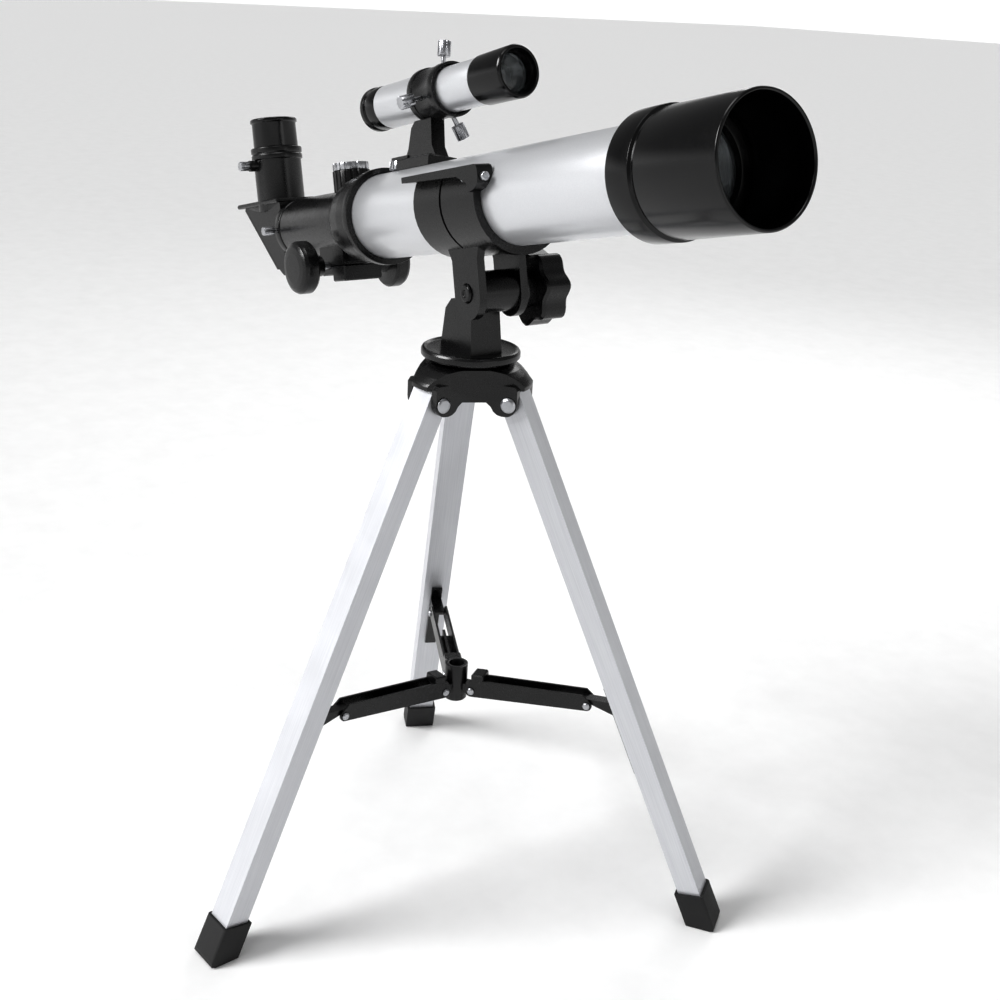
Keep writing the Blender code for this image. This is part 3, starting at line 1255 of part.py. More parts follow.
def finder_optics(aim):
    inner = FINDER_RADIUS - FINDER_WALL
    piece(
        "finder_tube",
        aim,
        "silver_enamel",
        pipe(FINDER_RADIUS, inner, FINDER_REAR, FINDER_FRONT, "X", 28),
    )
    sleeve = FINDER_RADIUS + GAP
    lens = 11.8 * MM
    front = [
        (sleeve, FINDER_CAP_REAR),
        (FINDER_CAP_RADIUS - 0.9 * MM, FINDER_CAP_REAR),
        (FINDER_CAP_RADIUS - 0.5 * MM, FINDER_CAP_REAR + 1.5 * MM),
        (FINDER_CAP_RADIUS, FINDER_CAP_FRONT - 1.5 * MM),
        (FINDER_CAP_RADIUS - 0.8 * MM, FINDER_CAP_FRONT),
        (FINDER_CAP_RADIUS - 2.2 * MM, FINDER_CAP_FRONT),
        (FINDER_CAP_RADIUS - 2.8 * MM, FINDER_CAP_FRONT - 3.0 * MM),
        (lens + GAP, FINDER_CAP_FRONT - 4.0 * MM),
        (lens + GAP, FINDER_FRONT + 12.0 * MM),
        (lens - 1.6 * MM, FINDER_FRONT + 12.0 * MM),
        (lens - 1.6 * MM, FINDER_FRONT + GAP),
        (sleeve, FINDER_FRONT + GAP),
    ]
    piece("finder_hood", aim, "black_enamel", turned(front, "X", 28))
    seat = FINDER_FRONT + 12.0 * MM + GAP
    glass = [(0, seat), (lens, seat), (lens, seat + 2.2 * MM), (0, seat + 3.4 * MM)]
    piece("finder_objective_lens", aim, "lens_glass", turned(glass, "X", 20))
    rear = [
        (inner - GAP - 2.4 * MM, FINDER_EYE_FRONT + 4.0 * MM),
        (inner - GAP, FINDER_EYE_FRONT + 4.0 * MM),
        (inner - GAP, FINDER_REAR - GAP),
        (FINDER_RADIUS, FINDER_REAR - GAP),
        (FINDER_RADIUS, FINDER_EYE_REAR + 6.0 * MM),
        (FINDER_RADIUS - 0.7 * MM, FINDER_EYE_REAR + 5.4 * MM),
        (FINDER_RADIUS - 0.7 * MM, FINDER_EYE_REAR + 4.2 * MM),
        (FINDER_RADIUS + 0.4 * MM, FINDER_EYE_REAR + 3.6 * MM),
        (FINDER_RADIUS + 0.4 * MM, FINDER_EYE_REAR),
        (7.0 * MM, FINDER_EYE_REAR),
        (5.4 * MM, FINDER_EYE_REAR + 3.0 * MM),
        (8.2 * MM, FINDER_EYE_REAR + 3.0 * MM),
        (8.2 * MM, FINDER_EYE_FRONT + 4.0 * MM),
    ]
    piece("finder_eyepiece_ring", aim, "black_enamel", turned(rear, "X", 24))
    low = FINDER_EYE_REAR + 3.0 * MM + GAP
    eye = [(0, low), (8.2 * MM - GAP, low), (8.2 * MM - GAP, low + 1.6 * MM), (0, low + 3.6 * MM)]
    piece("finder_eye_lens", aim, "lens_glass", turned(eye, "X", 20))


# --- Assembly -------------------------------------------------------------------------


def centre_on_floor(base):
    """Moves the whole model so that its box stands on the origin at the middle of its base."""
    bpy.context.view_layer.update()
    graph = bpy.context.evaluated_depsgraph_get()
    corners = []
    for made in bpy.data.objects:
        if made.type == "MESH" and not made.hide_render:
            mesh = made.evaluated_get(graph).to_mesh()
            corners += [made.matrix_world @ v.co for v in mesh.vertices]
    low = Vector([min(c[i] for c in corners) for i in range(3)])
    high = Vector([max(c[i] for c in corners) for i in range(3)])
    base.location -= Vector(((low.x + high.x) / 2, (low.y + high.y) / 2, low.z))
    bpy.context.view_layer.update()


def main():
    for old in list(bpy.data.objects):
        bpy.data.objects.remove(old, do_unlink=True)
    base = empty("base")
    head = empty("leg_pivot_level", base, (0, 0, LEG_REACH * math.cos(LEG_SPLAY)))
    ear_outer = tripod_head(head)
    for number, azimuth in enumerate(LEG_AZIMUTHS, 1):
        leg_and_fittings(number, azimuth, head, ear_outer)
    spreader(head)
    swivel = empty("azimuth_axis", head, (0, 0, HEAD_TOP + GAP))
    yoke(swivel)
    tilt = empty("altitude_axis", swivel, (ALTITUDE_FORWARD, 0, ALTITUDE_RISE), (0, -TILT, 0))
    tube = empty("tube_axis", tilt, (-PIVOT_STATION, 0, TUBE_RADIUS + PIVOT_DROP))
    cradle(tilt, tube)
    optical_tube(tube)
    focuser(tube)
    diagonal(tube)
    eyepiece(tube)
    finder(tube)
    centre_on_floor(base)


main()
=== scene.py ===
import json
import math

import bmesh
import bpy
from mathutils import Matrix, Vector

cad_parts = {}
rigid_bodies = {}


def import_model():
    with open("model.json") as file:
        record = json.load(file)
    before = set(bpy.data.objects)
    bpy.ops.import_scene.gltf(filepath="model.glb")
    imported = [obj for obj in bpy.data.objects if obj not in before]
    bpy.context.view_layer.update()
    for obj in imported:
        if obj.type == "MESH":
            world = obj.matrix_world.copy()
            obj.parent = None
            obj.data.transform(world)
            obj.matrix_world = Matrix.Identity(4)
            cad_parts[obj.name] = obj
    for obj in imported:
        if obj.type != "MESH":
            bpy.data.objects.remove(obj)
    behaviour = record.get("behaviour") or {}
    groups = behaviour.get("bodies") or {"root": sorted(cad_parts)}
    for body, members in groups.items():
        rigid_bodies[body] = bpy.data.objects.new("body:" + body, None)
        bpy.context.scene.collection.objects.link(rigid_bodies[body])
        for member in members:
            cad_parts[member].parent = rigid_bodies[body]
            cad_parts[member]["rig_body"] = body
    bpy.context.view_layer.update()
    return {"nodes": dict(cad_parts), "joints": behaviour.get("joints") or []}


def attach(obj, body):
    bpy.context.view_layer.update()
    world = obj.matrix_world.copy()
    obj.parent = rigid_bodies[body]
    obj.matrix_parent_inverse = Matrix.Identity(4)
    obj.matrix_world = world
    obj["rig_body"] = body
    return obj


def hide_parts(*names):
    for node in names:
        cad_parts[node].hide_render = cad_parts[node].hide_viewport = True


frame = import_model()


# --- Finishes -------------------------------------------------------------------------


def colour(code):
    """An sRGB hex colour as linear values."""
    parts = [int(code[i : i + 2], 16) / 255 for i in (1, 3, 5)]
    linear = [p / 12.92 if p <= 0.04045 else ((p + 0.055) / 1.055) ** 2.4 for p in parts]
    return (*linear, 1.0)


def node(tree, kind, settings=None, links=None):
    """Adds a node; settings are its own values or input values, links are inputs fed by sockets."""
    made = tree.nodes.new(kind)
    for name, value in (settings or {}).items():
        if hasattr(made, name) and name not in made.inputs:
            setattr(made, name, value)
        else:
            made.inputs[name].default_value = value
    for name, source in (links or {}).items():
        tree.links.new(source, made.inputs[name])
    return made


def ramp(tree, source, low, high, start=0.3, end=0.7):
    ends = {"From Min": start, "From Max": end, "To Min": low, "To Max": high}
    made = node(tree, "ShaderNodeMapRange", ends)
    tree.links.new(source, made.inputs["Value"])
    return made.outputs["Result"]


def mix(tree, factor, first, second):
    made = tree.nodes.new("ShaderNodeMix")
    made.data_type = "RGBA"
    made.inputs["A"].default_value = colour(first)
    made.inputs["B"].default_value = colour(second)
    tree.links.new(factor, made.inputs["Factor"])
    return made.outputs["Result"]


def finish(name, shader, base, rough, grain, bump, wear=0.5):
    """A finish from a broad pattern and a fine one.

    base holds two colours and rough two roughnesses; grain and bump are in metres, and wear is
    the broad pattern's share.
    """
    made = bpy.data.materials.new(name)
    made.use_nodes = True
    tree = made.node_tree
    surface = tree.nodes["Principled BSDF"]
    for socket, value in shader.items():
        surface.inputs[socket].default_value = value
    spot = node(tree, "ShaderNodeTexCoord").outputs["Object"]
    broad = node(
        tree, "ShaderNodeTexNoise", {"Scale": 1 / 0.022, "Detail": 6.0, "Roughness": 0.6},
        {"Vector": spot},
    ).outputs["Fac"]
    fine = node(
        tree, "ShaderNodeTexNoise", {"Scale": 1 / grain, "Detail": 3.0, "Roughness": 0.5},
        {"Vector": spot},
    ).outputs["Fac"]
    shade = node(tree, "ShaderNodeMath", {"operation": "ADD"})
    part = node(tree, "ShaderNodeMath", {"operation": "MULTIPLY"})
    part.inputs[1].default_value = wear
    tree.links.new(broad, part.inputs[0])
    rest = node(tree, "ShaderNodeMath", {"operation": "MULTIPLY"})
    rest.inputs[1].default_value = 1 - wear
    tree.links.new(fine, rest.inputs[0])
    tree.links.new(part.outputs[0], shade.inputs[0])
    tree.links.new(rest.outputs[0], shade.inputs[1])
    both = shade.outputs[0]
    tree.links.new(mix(tree, ramp(tree, both, 0, 1), *base), surface.inputs["Base Color"])
    tree.links.new(ramp(tree, both, *rough), surface.inputs["Roughness"])
    relief = node(
        tree, "ShaderNodeBump", {"Strength": 0.6, "Distance": bump}, {"Height": fine}
    )
    tree.links.new(relief.outputs["Normal"], surface.inputs["Normal"])
    return made


def extruded_aluminium():
    """Satin anodised aluminium: drawn lines along the leg, which blur its reflections across it."""
    made = bpy.data.materials.new("satin_anodised_aluminium")
    made.use_nodes = True
    tree = made.node_tree
    surface = tree.nodes["Principled BSDF"]
    surface.inputs["Metallic"].default_value = 0.6
    spot = node(tree, "ShaderNodeAttribute", {"attribute_name": "along_leg"}).outputs["Vector"]
    stretched = node(tree, "ShaderNodeVectorMath", {"operation": "MULTIPLY"})
    tree.links.new(spot, stretched.inputs[0])
    stretched.inputs[1].default_value = (1 / 0.0006, 1 / 0.0006, 1 / 0.05)
    lines = node(
        tree, "ShaderNodeTexNoise", {"Scale": 1.0, "Detail": 3.0},
        {"Vector": stretched.outputs[0]},
    ).outputs["Fac"]
    patches = node(
        tree, "ShaderNodeTexNoise", {"Scale": 1 / 0.03, "Detail": 5.0}, {"Vector": spot}
    ).outputs["Fac"]
    tint = mix(tree, ramp(tree, lines, 0, 1), "#C6C7CB", "#D0D1D4")
    tree.links.new(tint, surface.inputs["Base Color"])
    tree.links.new(ramp(tree, patches, 0.36, 0.46), surface.inputs["Roughness"])
    groove = {"Strength": 0.25, "Distance": 0.00004}
    relief = node(tree, "ShaderNodeBump", groove, {"Height": lines})
    tree.links.new(relief.outputs["Normal"], surface.inputs["Normal"])
    return made


finishes = {
    # Injection-moulded ABS, satin: near black, with a slightly uneven sheen.
    "black_plastic": finish(
        "moulded_black_abs", {"IOR": 1.54}, ("#040405", "#0A0A0B"), (0.22, 0.34), 0.0007, 0.00002
    ),
    # Baked enamel on metal: deeper black, sharper highlights.
    "black_enamel": finish(
        "baked_black_enamel", {"IOR": 1.5}, ("#030304", "#080809"), (0.14, 0.24), 0.0012, 0.00001
    ),
    # Moulded rubber: dull and finely grained.
    "boot_rubber": finish(
        "moulded_black_rubber", {"IOR": 1.52}, ("#0B0B0C", "#161617"), (0.5, 0.7), 0.0006, 0.00006
    ),
    # Metallic lacquer: fine flakes under a clear coat.
    "silver_enamel": finish(
        "silver_lacquer", {"Metallic": 0.55, "Coat Weight": 0.25, "Coat Roughness": 0.12},
        ("#CBCCCF", "#D3D4D6"),
        (0.3, 0.36), 0.0005, 0.000004, 0.12,
    ),
    "leg_aluminium": extruded_aluminium(),
    # Zinc-plated steel: bright with faint handling marks.
    "rivet_steel": finish(
        "zinc_plated_steel", {"Metallic": 1.0},
        ("#A9AAAD", "#BDBEC1"),
        (0.26, 0.38), 0.0005, 0.00001,
    ),
    # Chrome plate, dulled by handling.
    "screw_chrome": finish(
        "chrome_plate", {"Metallic": 1.0}, ("#B4B5B8", "#C6C7CA"), (0.22, 0.34), 0.0008, 0.00001
    ),
    # Coated crown glass: clear, with a faint cool bloom.
    "lens_glass": finish(
        "coated_crown_glass", {"Transmission Weight": 0.95, "IOR": 1.517},
        ("#E6EEF2", "#EEF3F5"),
        (0.01, 0.03), 0.004, 0.000001,
    ),
    # Front-silvered glass.
    "mirror": finish(
        "front_silvered_glass", {"Metallic": 1.0},
        ("#E4E5E6", "#EDEEEF"),
        (0.01, 0.03), 0.003, 0.000001,
    ),
}

MM = 0.001
GAP = 0.3 * MM  # between pieces that touch

# Tripod
LEG_AZIMUTHS = (35.3, -84.7, 155.3)  # degrees from +X
LEG_SPLAY = math.radians(24.37)
LEG_REACH = 382.0 * MM  # pivot to floor along a leg
LEG_WIDTH = 19.0 * MM
LEG_DEPTH = 14.6 * MM
LEG_WALL = 1.1 * MM
LEG_TOP = 5.0 * MM  # leg above its pivot
PIVOT_RADIUS = 32.0 * MM
RIVET_RADIUS = 2.5 * MM
RIVET_HEAD_RADIUS = 5.0 * MM
EAR_THICKNESS = 5.0 * MM
EAR_RADIUS = 7.9 * MM
BOOT_WALL = 1.7 * MM
BOOT_HEIGHT = 25.0 * MM  # at the outer face, above the floor
HEAD_RADIUS = 40.6 * MM
HEAD_TOP_RADIUS = 28.0 * MM
HEAD_TOP = 21.5 * MM  # flat top above the leg pivots
HEAD_BRIM = 8.4 * MM  # underside above the leg pivots
HEAD_ROOF = 4.5 * MM  # above the pocket under the head
HEAD_FLAT = 26.7 * MM  # axis to the flat sides between the legs
WEB_THICKNESS = 3.0 * MM

# Spreader
BRACE_STATION = 209.7 * MM  # leg pivot to the brace pin, along the leg
BRACE_INSET = 25.3 * MM  # leg centre line to the brace pin
HUB_PIN_RADIUS = 13.3 * MM
HUB_DROP = 8.3 * MM  # hub pins below the outer pins
HUB_RADIUS = 7.8 * MM
HUB_BORE = 5.2 * MM
PIN_RADIUS = 1.3 * MM
PIN_HEAD_RADIUS = 2.6 * MM
BRACE_GAP = 8.8 * MM  # between a brace's side walls
BRACE_WALL = 1.5 * MM
TONGUE_PLAY = 0.4 * MM  # on each side of a tongue inside a brace
STRIP_THICKNESS = 2.4 * MM
STRIP_LENGTH = 57.0 * MM  # bracket strip below the brace pin

# Yoke
DISC_RADIUS = 31.5 * MM
DISC_BASE_RADIUS = 25.0 * MM
DISC_HEIGHT = 8.5 * MM
POST_LENGTH = 35.2 * MM
POST_WIDTH = 23.4 * MM
POST_TAPER = 0.1  # share of its width lost at the top
AZIMUTH_BOLT_RADIUS = 3.0 * MM
ALTITUDE_FORWARD = 19.4 * MM  # altitude axis ahead of the azimuth axis
ALTITUDE_RISE = 47.4 * MM  # altitude axis above the head's flat top
YOKE_HUB_RADIUS = 12.8 * MM
YOKE_HUB_WIDTH = 24.4 * MM
ALTITUDE_BOLT_RADIUS = 3.0 * MM
STAR_RADIUS = 24.0 * MM
STAR_LOBES = 7

# Cradle and tube; stations run forward along the tube
TILT = math.radians(13.09)
TUBE_RADIUS = 28.0 * MM
TUBE_WALL = 1.0 * MM
TUBE_FRONT = 181.0 * MM
TUBE_REAR = -121.0 * MM
CRADLE_WALL = 3.6 * MM
CRADLE_REAR = -22.5 * MM
CRADLE_FRONT = 46.0 * MM
CRADLE_WRAP = math.radians(124.0)  # each way from the bottom
CRADLE_EAR = 5.3 * MM
CRADLE_EAR_HALF = 13.7 * MM
PIVOT_STATION = 7.5 * MM
PIVOT_DROP = 25.3 * MM  # altitude axis below the tube's skin
SHIELD_STEP = 5.1 * MM  # dew shield's skin outside the tube's
SHIELD_WALL = 2.1 * MM
SHIELD_REAR = 163.5 * MM
SHIELD_FRONT = 243.1 * MM
LENS_STATION = 196.0 * MM
LENS_RADIUS = 25.0 * MM

# Focuser
DRAW_RADIUS = 18.7 * MM
HOUSING_WALL = 2.9 * MM
HOUSING_REAR = -233.0 * MM
HOUSING_FRONT = -109.0 * MM
FLARE_REAR = -152.0 * MM
DRAW_COLLAR = 8.0 * MM
DRAW_TRAVEL = 45.0 * MM
PINION_STATION = -173.0 * MM
DRAW_FRONT = PINION_STATION + DRAW_TRAVEL + 4.0 * MM
PINION_PITCH_RADIUS = 5.5 * MM
PINION_TEETH = 14
TOOTH_HEIGHT = 1.7 * MM
TOOTH_BACKLASH = 0.35 * MM
RACK_WIDTH = 6.0 * MM
RACK_RISE = 4.8 * MM  # pitch line below the drawtube's skin
SHAFT_RADIUS = 2.5 * MM
KNOB_RADIUS = 18.3 * MM
KNOB_WIDTH = 13.0 * MM
KNOB_INNER = 30.6 * MM
GEAR_BOX_HALF = 15.0 * MM
LOCK_STATION = -155.0 * MM
LOCK_RADIUS = 12.5 * MM
LOCK_TOP = 40.0 * MM
LOCK_HEIGHT = 5.0 * MM

# Diagonal and eyepiece
BARREL_RADIUS = 15.875 * MM  # the 1.25 inch fitting
HOLDER_STATION = -270.3 * MM
HOLDER_WALL = 1.7 * MM
HOLDER_TOP = 54.0 * MM
HOLDER_COLLAR = 9.0 * MM
DIAGONAL_ROOF = 21.0 * MM
DIAGONAL_HALF = 18.0 * MM
DIAGONAL_BACK = 15.2 * MM  # the sloped back behind the mirror, along the tube
MIRROR_THICKNESS = 2.4 * MM
COVER_THICKNESS = 1.8 * MM
EYEPIECE_RISE = 21.0 * MM
EYEPIECE_FLANGE = 3.4 * MM

# Finder
FINDER_ROLL = math.radians(10.0)
FINDER_RISE = 45.4 * MM  # finder axis above the tube's skin
FINDER_STATION = -50.0 * MM
FINDER_PITCH = 0.013
FINDER_YAW = 0.038
FINDER_RADIUS = 14.05 * MM
FINDER_WALL = 0.9 * MM
FINDER_FRONT = 58.0 * MM  # ahead of the ring's middle
FINDER_REAR = -60.0 * MM
FINDER_CAP_REAR = 48.4 * MM
FINDER_CAP_FRONT = 81.2 * MM
FINDER_CAP_RADIUS = 15.5 * MM
FINDER_EYE_REAR = -76.7 * MM
FINDER_EYE_FRONT = -53.0 * MM
RING_WIDTH = 30.2 * MM
RING_INNER = 15.3 * MM
RING_WALL = 1.6 * MM
THUMBSCREW_ANGLES = (90.0, 202.0, 306.0)  # degrees about the finder, from +Y towards up
FOOT_NUT_STATION = -95.0 * MM
FOOT_NUT_RADIUS = 8.0 * MM


# --- Shapes ---------------------------------------------------------------------------

SOFT = 0.2 * MM  # how far a turned piece's corners are rounded
FINE = 3  # steps of a finished turned piece for each step written in its call


def empty(name, parent=None, location=(0, 0, 0), rotation=(0, 0, 0)):
    made = bpy.data.objects.new(name, None)
    made.parent = parent
    made.location = location
    made.rotation_euler = rotation
    bpy.context.scene.collection.objects.link(made)
    return made


def place(bm, name, parent, finish):
    bmesh.ops.recalc_face_normals(bm, faces=bm.faces)
    mesh = bpy.data.meshes.new(name)
    bm.to_mesh(mesh)
    bm.free()
    mesh.materials.append(finishes[finish])
    made = bpy.data.objects.new(name, mesh)
    made.parent = parent
    bpy.context.scene.collection.objects.link(made)
    return made


PIECES = []
TOOLS = []


def piece(name, parent, finish, base, adds=(), cuts=(), trims=()):
    """One finished piece: the base shape, trimmed, with others joined and cutters taken away."""
    made = place(base, f"rough_{name}", parent, finish)
    tools = [("DIFFERENCE", bm) for bm in trims]
    tools += [("UNION", bm) for bm in adds]
    tools += [("DIFFERENCE", bm) for bm in cuts]
    for number, (operation, bm) in enumerate(tools, 1):
        tool = place(bm, f"{name}_tool_{number}", parent, finish)
        TOOLS.append(tool)
        boolean = made.modifiers.new(f"tool_{number}", "BOOLEAN")
        boolean.operation = operation
        boolean.object = tool
    PIECES.append((name, made))
    return made


TURNS = {
    "X": Matrix.Rotation(math.pi / 2, 3, "Y"),
    "Y": Matrix.Rotation(-math.pi / 2, 3, "X"),
    "Z": Matrix.Identity(3),
}


def moved(bm, turn=None, shift=(0, 0, 0)):
    if turn is not None:
        bmesh.ops.rotate(bm, cent=(0, 0, 0), matrix=turn, verts=bm.verts)
    bmesh.ops.translate(bm, vec=Vector(shift), verts=bm.verts)
    return bm


def turned(profile, axis="Z", steps=32, shift=(0, 0, 0), soft=SOFT):
    """A round shape from (radius, height) points, with its corners slightly rounded."""
    bm = bmesh.new()
    ring = [bm.verts.new((radius, 0, height)) for radius, height in profile]
    bm.faces.new(ring)
    if soft:
        bmesh.ops.bevel(
            bm, geom=[v for v in ring if v.co.x > 1e-6], offset=soft, segments=2, profile=0.5,
            affect="VERTICES", material=-1, clamp_overlap=True,
        )
    bmesh.ops.delete(bm, geom=list(bm.faces), context="FACES_ONLY")
    on_axis = [e for e in bm.edges if max(v.co.x for v in e.verts) < 1e-6]
    bmesh.ops.delete(bm, geom=on_axis, context="EDGES")
    bmesh.ops.spin(
        bm, geom=[*bm.verts, *bm.edges], cent=(0, 0, 0), axis=(0, 0, 1), angle=2 * math.pi,
        steps=steps * FINE, use_merge=True,
    )
    bmesh.ops.remove_doubles(bm, verts=bm.verts, dist=1e-6)
    return moved(bm, TURNS[axis], shift)


def rod(radius, low, high, axis="Z", steps=24, shift=(0, 0, 0)):
    return turned([(0, low), (radius, low), (radius, high), (0, high)], axis, steps, shift, 0)


def pipe(outer, inner, low, high, axis="Z", steps=32):
    return turned([(inner, low), (outer, low), (outer, high), (inner, high)], axis, steps)


def plate(outline, low, high, axis="Y", soft=0.0):
    """A flat outline pushed along an axis: (y, z) points for X, (x, z) for Y and (x, y) for Z."""
    spots = {
        "X": lambda a, b: (low, a, b),
        "Y": lambda a, b: (a, low, b),
        "Z": lambda a, b: (a, b, low),
    }
    bm = bmesh.new()
    face = bm.faces.new([bm.verts.new(spots[axis](a, b)) for a, b in outline])
    grown = bmesh.ops.extrude_face_region(bm, geom=[face])["geom"]
    push = Vector([(high - low) * (letter == axis) for letter in "XYZ"])
    bmesh.ops.translate(
        bm, vec=push, verts=[v for v in grown if isinstance(v, bmesh.types.BMVert)]
    )
    if soft:
        bmesh.ops.recalc_face_normals(bm, faces=bm.faces)
        way = push.normalized()
        caps = [
            f
            for f in bm.faces
            if len(f.verts) == len(outline) and abs(f.normal.normalized().dot(way)) > 0.99
        ]
        rims = {e for f in caps for e in f.edges}
        bmesh.ops.bevel(
            bm, geom=list(rims), offset=soft, segments=2, profile=0.5, affect="EDGES",
            material=-1, clamp_overlap=True,
        )
    return bm


def block(low, high, bevel=0.0, segments=2):
    bm = bmesh.new()
    bmesh.ops.create_cube(bm, size=1.0)
    size = Vector(high) - Vector(low)
    bmesh.ops.scale(bm, vec=size, verts=bm.verts)
    bmesh.ops.translate(bm, vec=(Vector(high) + Vector(low)) / 2, verts=bm.verts)
    if bevel:
        bmesh.ops.bevel(
            bm, geom=bm.edges, offset=bevel, segments=segments, profile=0.5, affect="EDGES",
            material=-1,
        )
    return bm


def arc(centre, radius, start, end, count):
    """Points on an arc, in degrees from the first axis towards the second."""
    angles = [math.radians(start + (end - start) * i / count) for i in range(count + 1)]
    return [
        (centre[0] + radius * math.cos(a), centre[1] + radius * math.sin(a))
        for a in angles
    ]


def rivet(shank, head, half, dome):
    """A two-headed rivet along Y, from half its grip."""
    top = [(0, half + dome), (0.7 * head, half + dome), (head, half + 0.3 * dome), (head, half)]
    top.append((shank, half))
    bottom = [(radius, -height) for radius, height in reversed(top)]
    return turned(top + bottom, "Y", 12)


def knurled(radius, low, high, ribs, depth):
    """A knob with ribs round its rim and softened ends."""
    outline = []
    for i in range(ribs):
        middle = 360.0 * i / ribs
        quarter = 90.0 / ribs
        outline += arc((0, 0), radius, middle - quarter, middle + quarter, 2)
        outline += arc((0, 0), radius - depth, middle + 1.6 * quarter, middle + 2.4 * quarter, 1)
    return plate(outline, low, high, "Z", 0.35 * MM)


# --- Tripod ---------------------------------------------------------------------------


def tripod_head(head):
    slot_half = LEG_WIDTH / 2 + 1.5 * GAP
    ear_outer = slot_half + EAR_THICKNESS
    dome = turned(
        [
            (0, HEAD_BRIM), (HEAD_RADIUS, HEAD_BRIM), (HEAD_RADIUS, HEAD_BRIM + 2.4 * MM),
            (HEAD_RADIUS - 1.2 * MM, HEAD_BRIM + 4.2 * MM),
            (HEAD_RADIUS - 4.4 * MM, HEAD_BRIM + 7.6 * MM),
            (HEAD_RADIUS - 8.4 * MM, HEAD_BRIM + 10.9 * MM), (HEAD_TOP_RADIUS, HEAD_TOP),
            (0, HEAD_TOP),
        ],
        steps=36,
    )
    slope = 4.0 * MM
    flats = []
    webs = []
    ears = []
    slots = []
    for azimuth in LEG_AZIMUTHS:
        turn = Matrix.Rotation(math.radians(azimuth), 3, "Z")
        flat_turn = Matrix.Rotation(math.radians(azimuth + 60), 3, "Z")
        flat = block(
            (HEAD_FLAT, -HEAD_RADIUS, -slope),
            (HEAD_RADIUS + slope, HEAD_RADIUS, HEAD_TOP + slope),
        )
        flats.append(moved(flat, flat_turn))
        web = block(
            (HEAD_FLAT - WEB_THICKNESS, -21.0 * MM, 1.2 * MM),
            (HEAD_FLAT - GAP, 21.0 * MM, HEAD_TOP - 6 * MM),
        )
        webs.append(moved(web, flat_turn))
        rim = HEAD_RADIUS - 3.0 * MM
        outline = [(17.0 * MM, HEAD_BRIM + 3.6 * MM), (17.0 * MM, 0.0)]
        outline += arc((PIVOT_RADIUS - 4.0 * MM, 0), EAR_RADIUS, 200, 270, 3)
        outline += arc((rim - EAR_RADIUS, 0), EAR_RADIUS, 285, 360, 5)
        outline.append((rim, HEAD_BRIM + 1.2 * MM))
        outline.append((rim - 2.0 * MM, HEAD_BRIM + 3.6 * MM))
        ears.append(moved(plate(outline, -ear_outer, ear_outer), turn))
        slot = [
            (15.0 * MM, -2 * EAR_RADIUS), (HEAD_RADIUS + slope, -2 * EAR_RADIUS),
            (HEAD_RADIUS + slope, HEAD_BRIM - 0.3 * MM), (15.0 * MM, HEAD_BRIM - 0.3 * MM),
        ]
        slots.append(moved(plate(slot, -slot_half, slot_half), turn))
        spot = (PIVOT_RADIUS, 0, 0)
        hole = rod(RIVET_RADIUS + GAP, -2 * ear_outer, 2 * ear_outer, "Y", 16, spot)
        slots.append(moved(hole, turn))
    pocket = rod(14.0 * MM, -slope, HEAD_TOP - HEAD_ROOF, steps=24)
    bore = rod(AZIMUTH_BOLT_RADIUS + GAP, 0, HEAD_TOP + slope, steps=16)
    piece("tripod_head", head, "black_plastic", dome, webs + ears, [*slots, pocket, bore], flats)
    return ear_outer


def leg_and_fittings(number, azimuth, head, ear_outer):
    """A leg in its own frame: +X out from the leg's face, +Z up the leg, origin on the pivot."""
    turn = math.radians(azimuth)
    spot = (PIVOT_RADIUS * math.cos(turn), PIVOT_RADIUS * math.sin(turn), 0)
    hinge = empty(f"leg_hinge_{number}", head, spot, (0, -LEG_SPLAY, turn))
    half = LEG_DEPTH / 2
    sole_clear = 3.0 * MM
    foot = LEG_REACH - (sole_clear + half * math.sin(LEG_SPLAY)) / math.cos(LEG_SPLAY)
    tube = block((-half, -LEG_WIDTH / 2, -foot), (half, LEG_WIDTH / 2, LEG_TOP))
    hollow = block(
        (LEG_WALL - half, LEG_WALL - LEG_WIDTH / 2, -foot - LEG_WALL),
        (half - LEG_WALL, LEG_WIDTH / 2 - LEG_WALL, LEG_TOP + LEG_WALL),
    )
    hole = rod(RIVET_RADIUS + GAP, -LEG_WIDTH, LEG_WIDTH, "Y", 16)
    piece(f"leg_{number}", hinge, "leg_aluminium", tube, cuts=[hollow, hole])
    grip = ear_outer + GAP
    piece(
        f"leg_rivet_{number}", hinge, "rivet_steel",
        rivet(RIVET_RADIUS, RIVET_HEAD_RADIUS, grip, 1.6 * MM),
    )
    boot(number, hinge, foot)
    bracket(number, hinge)
    return hinge


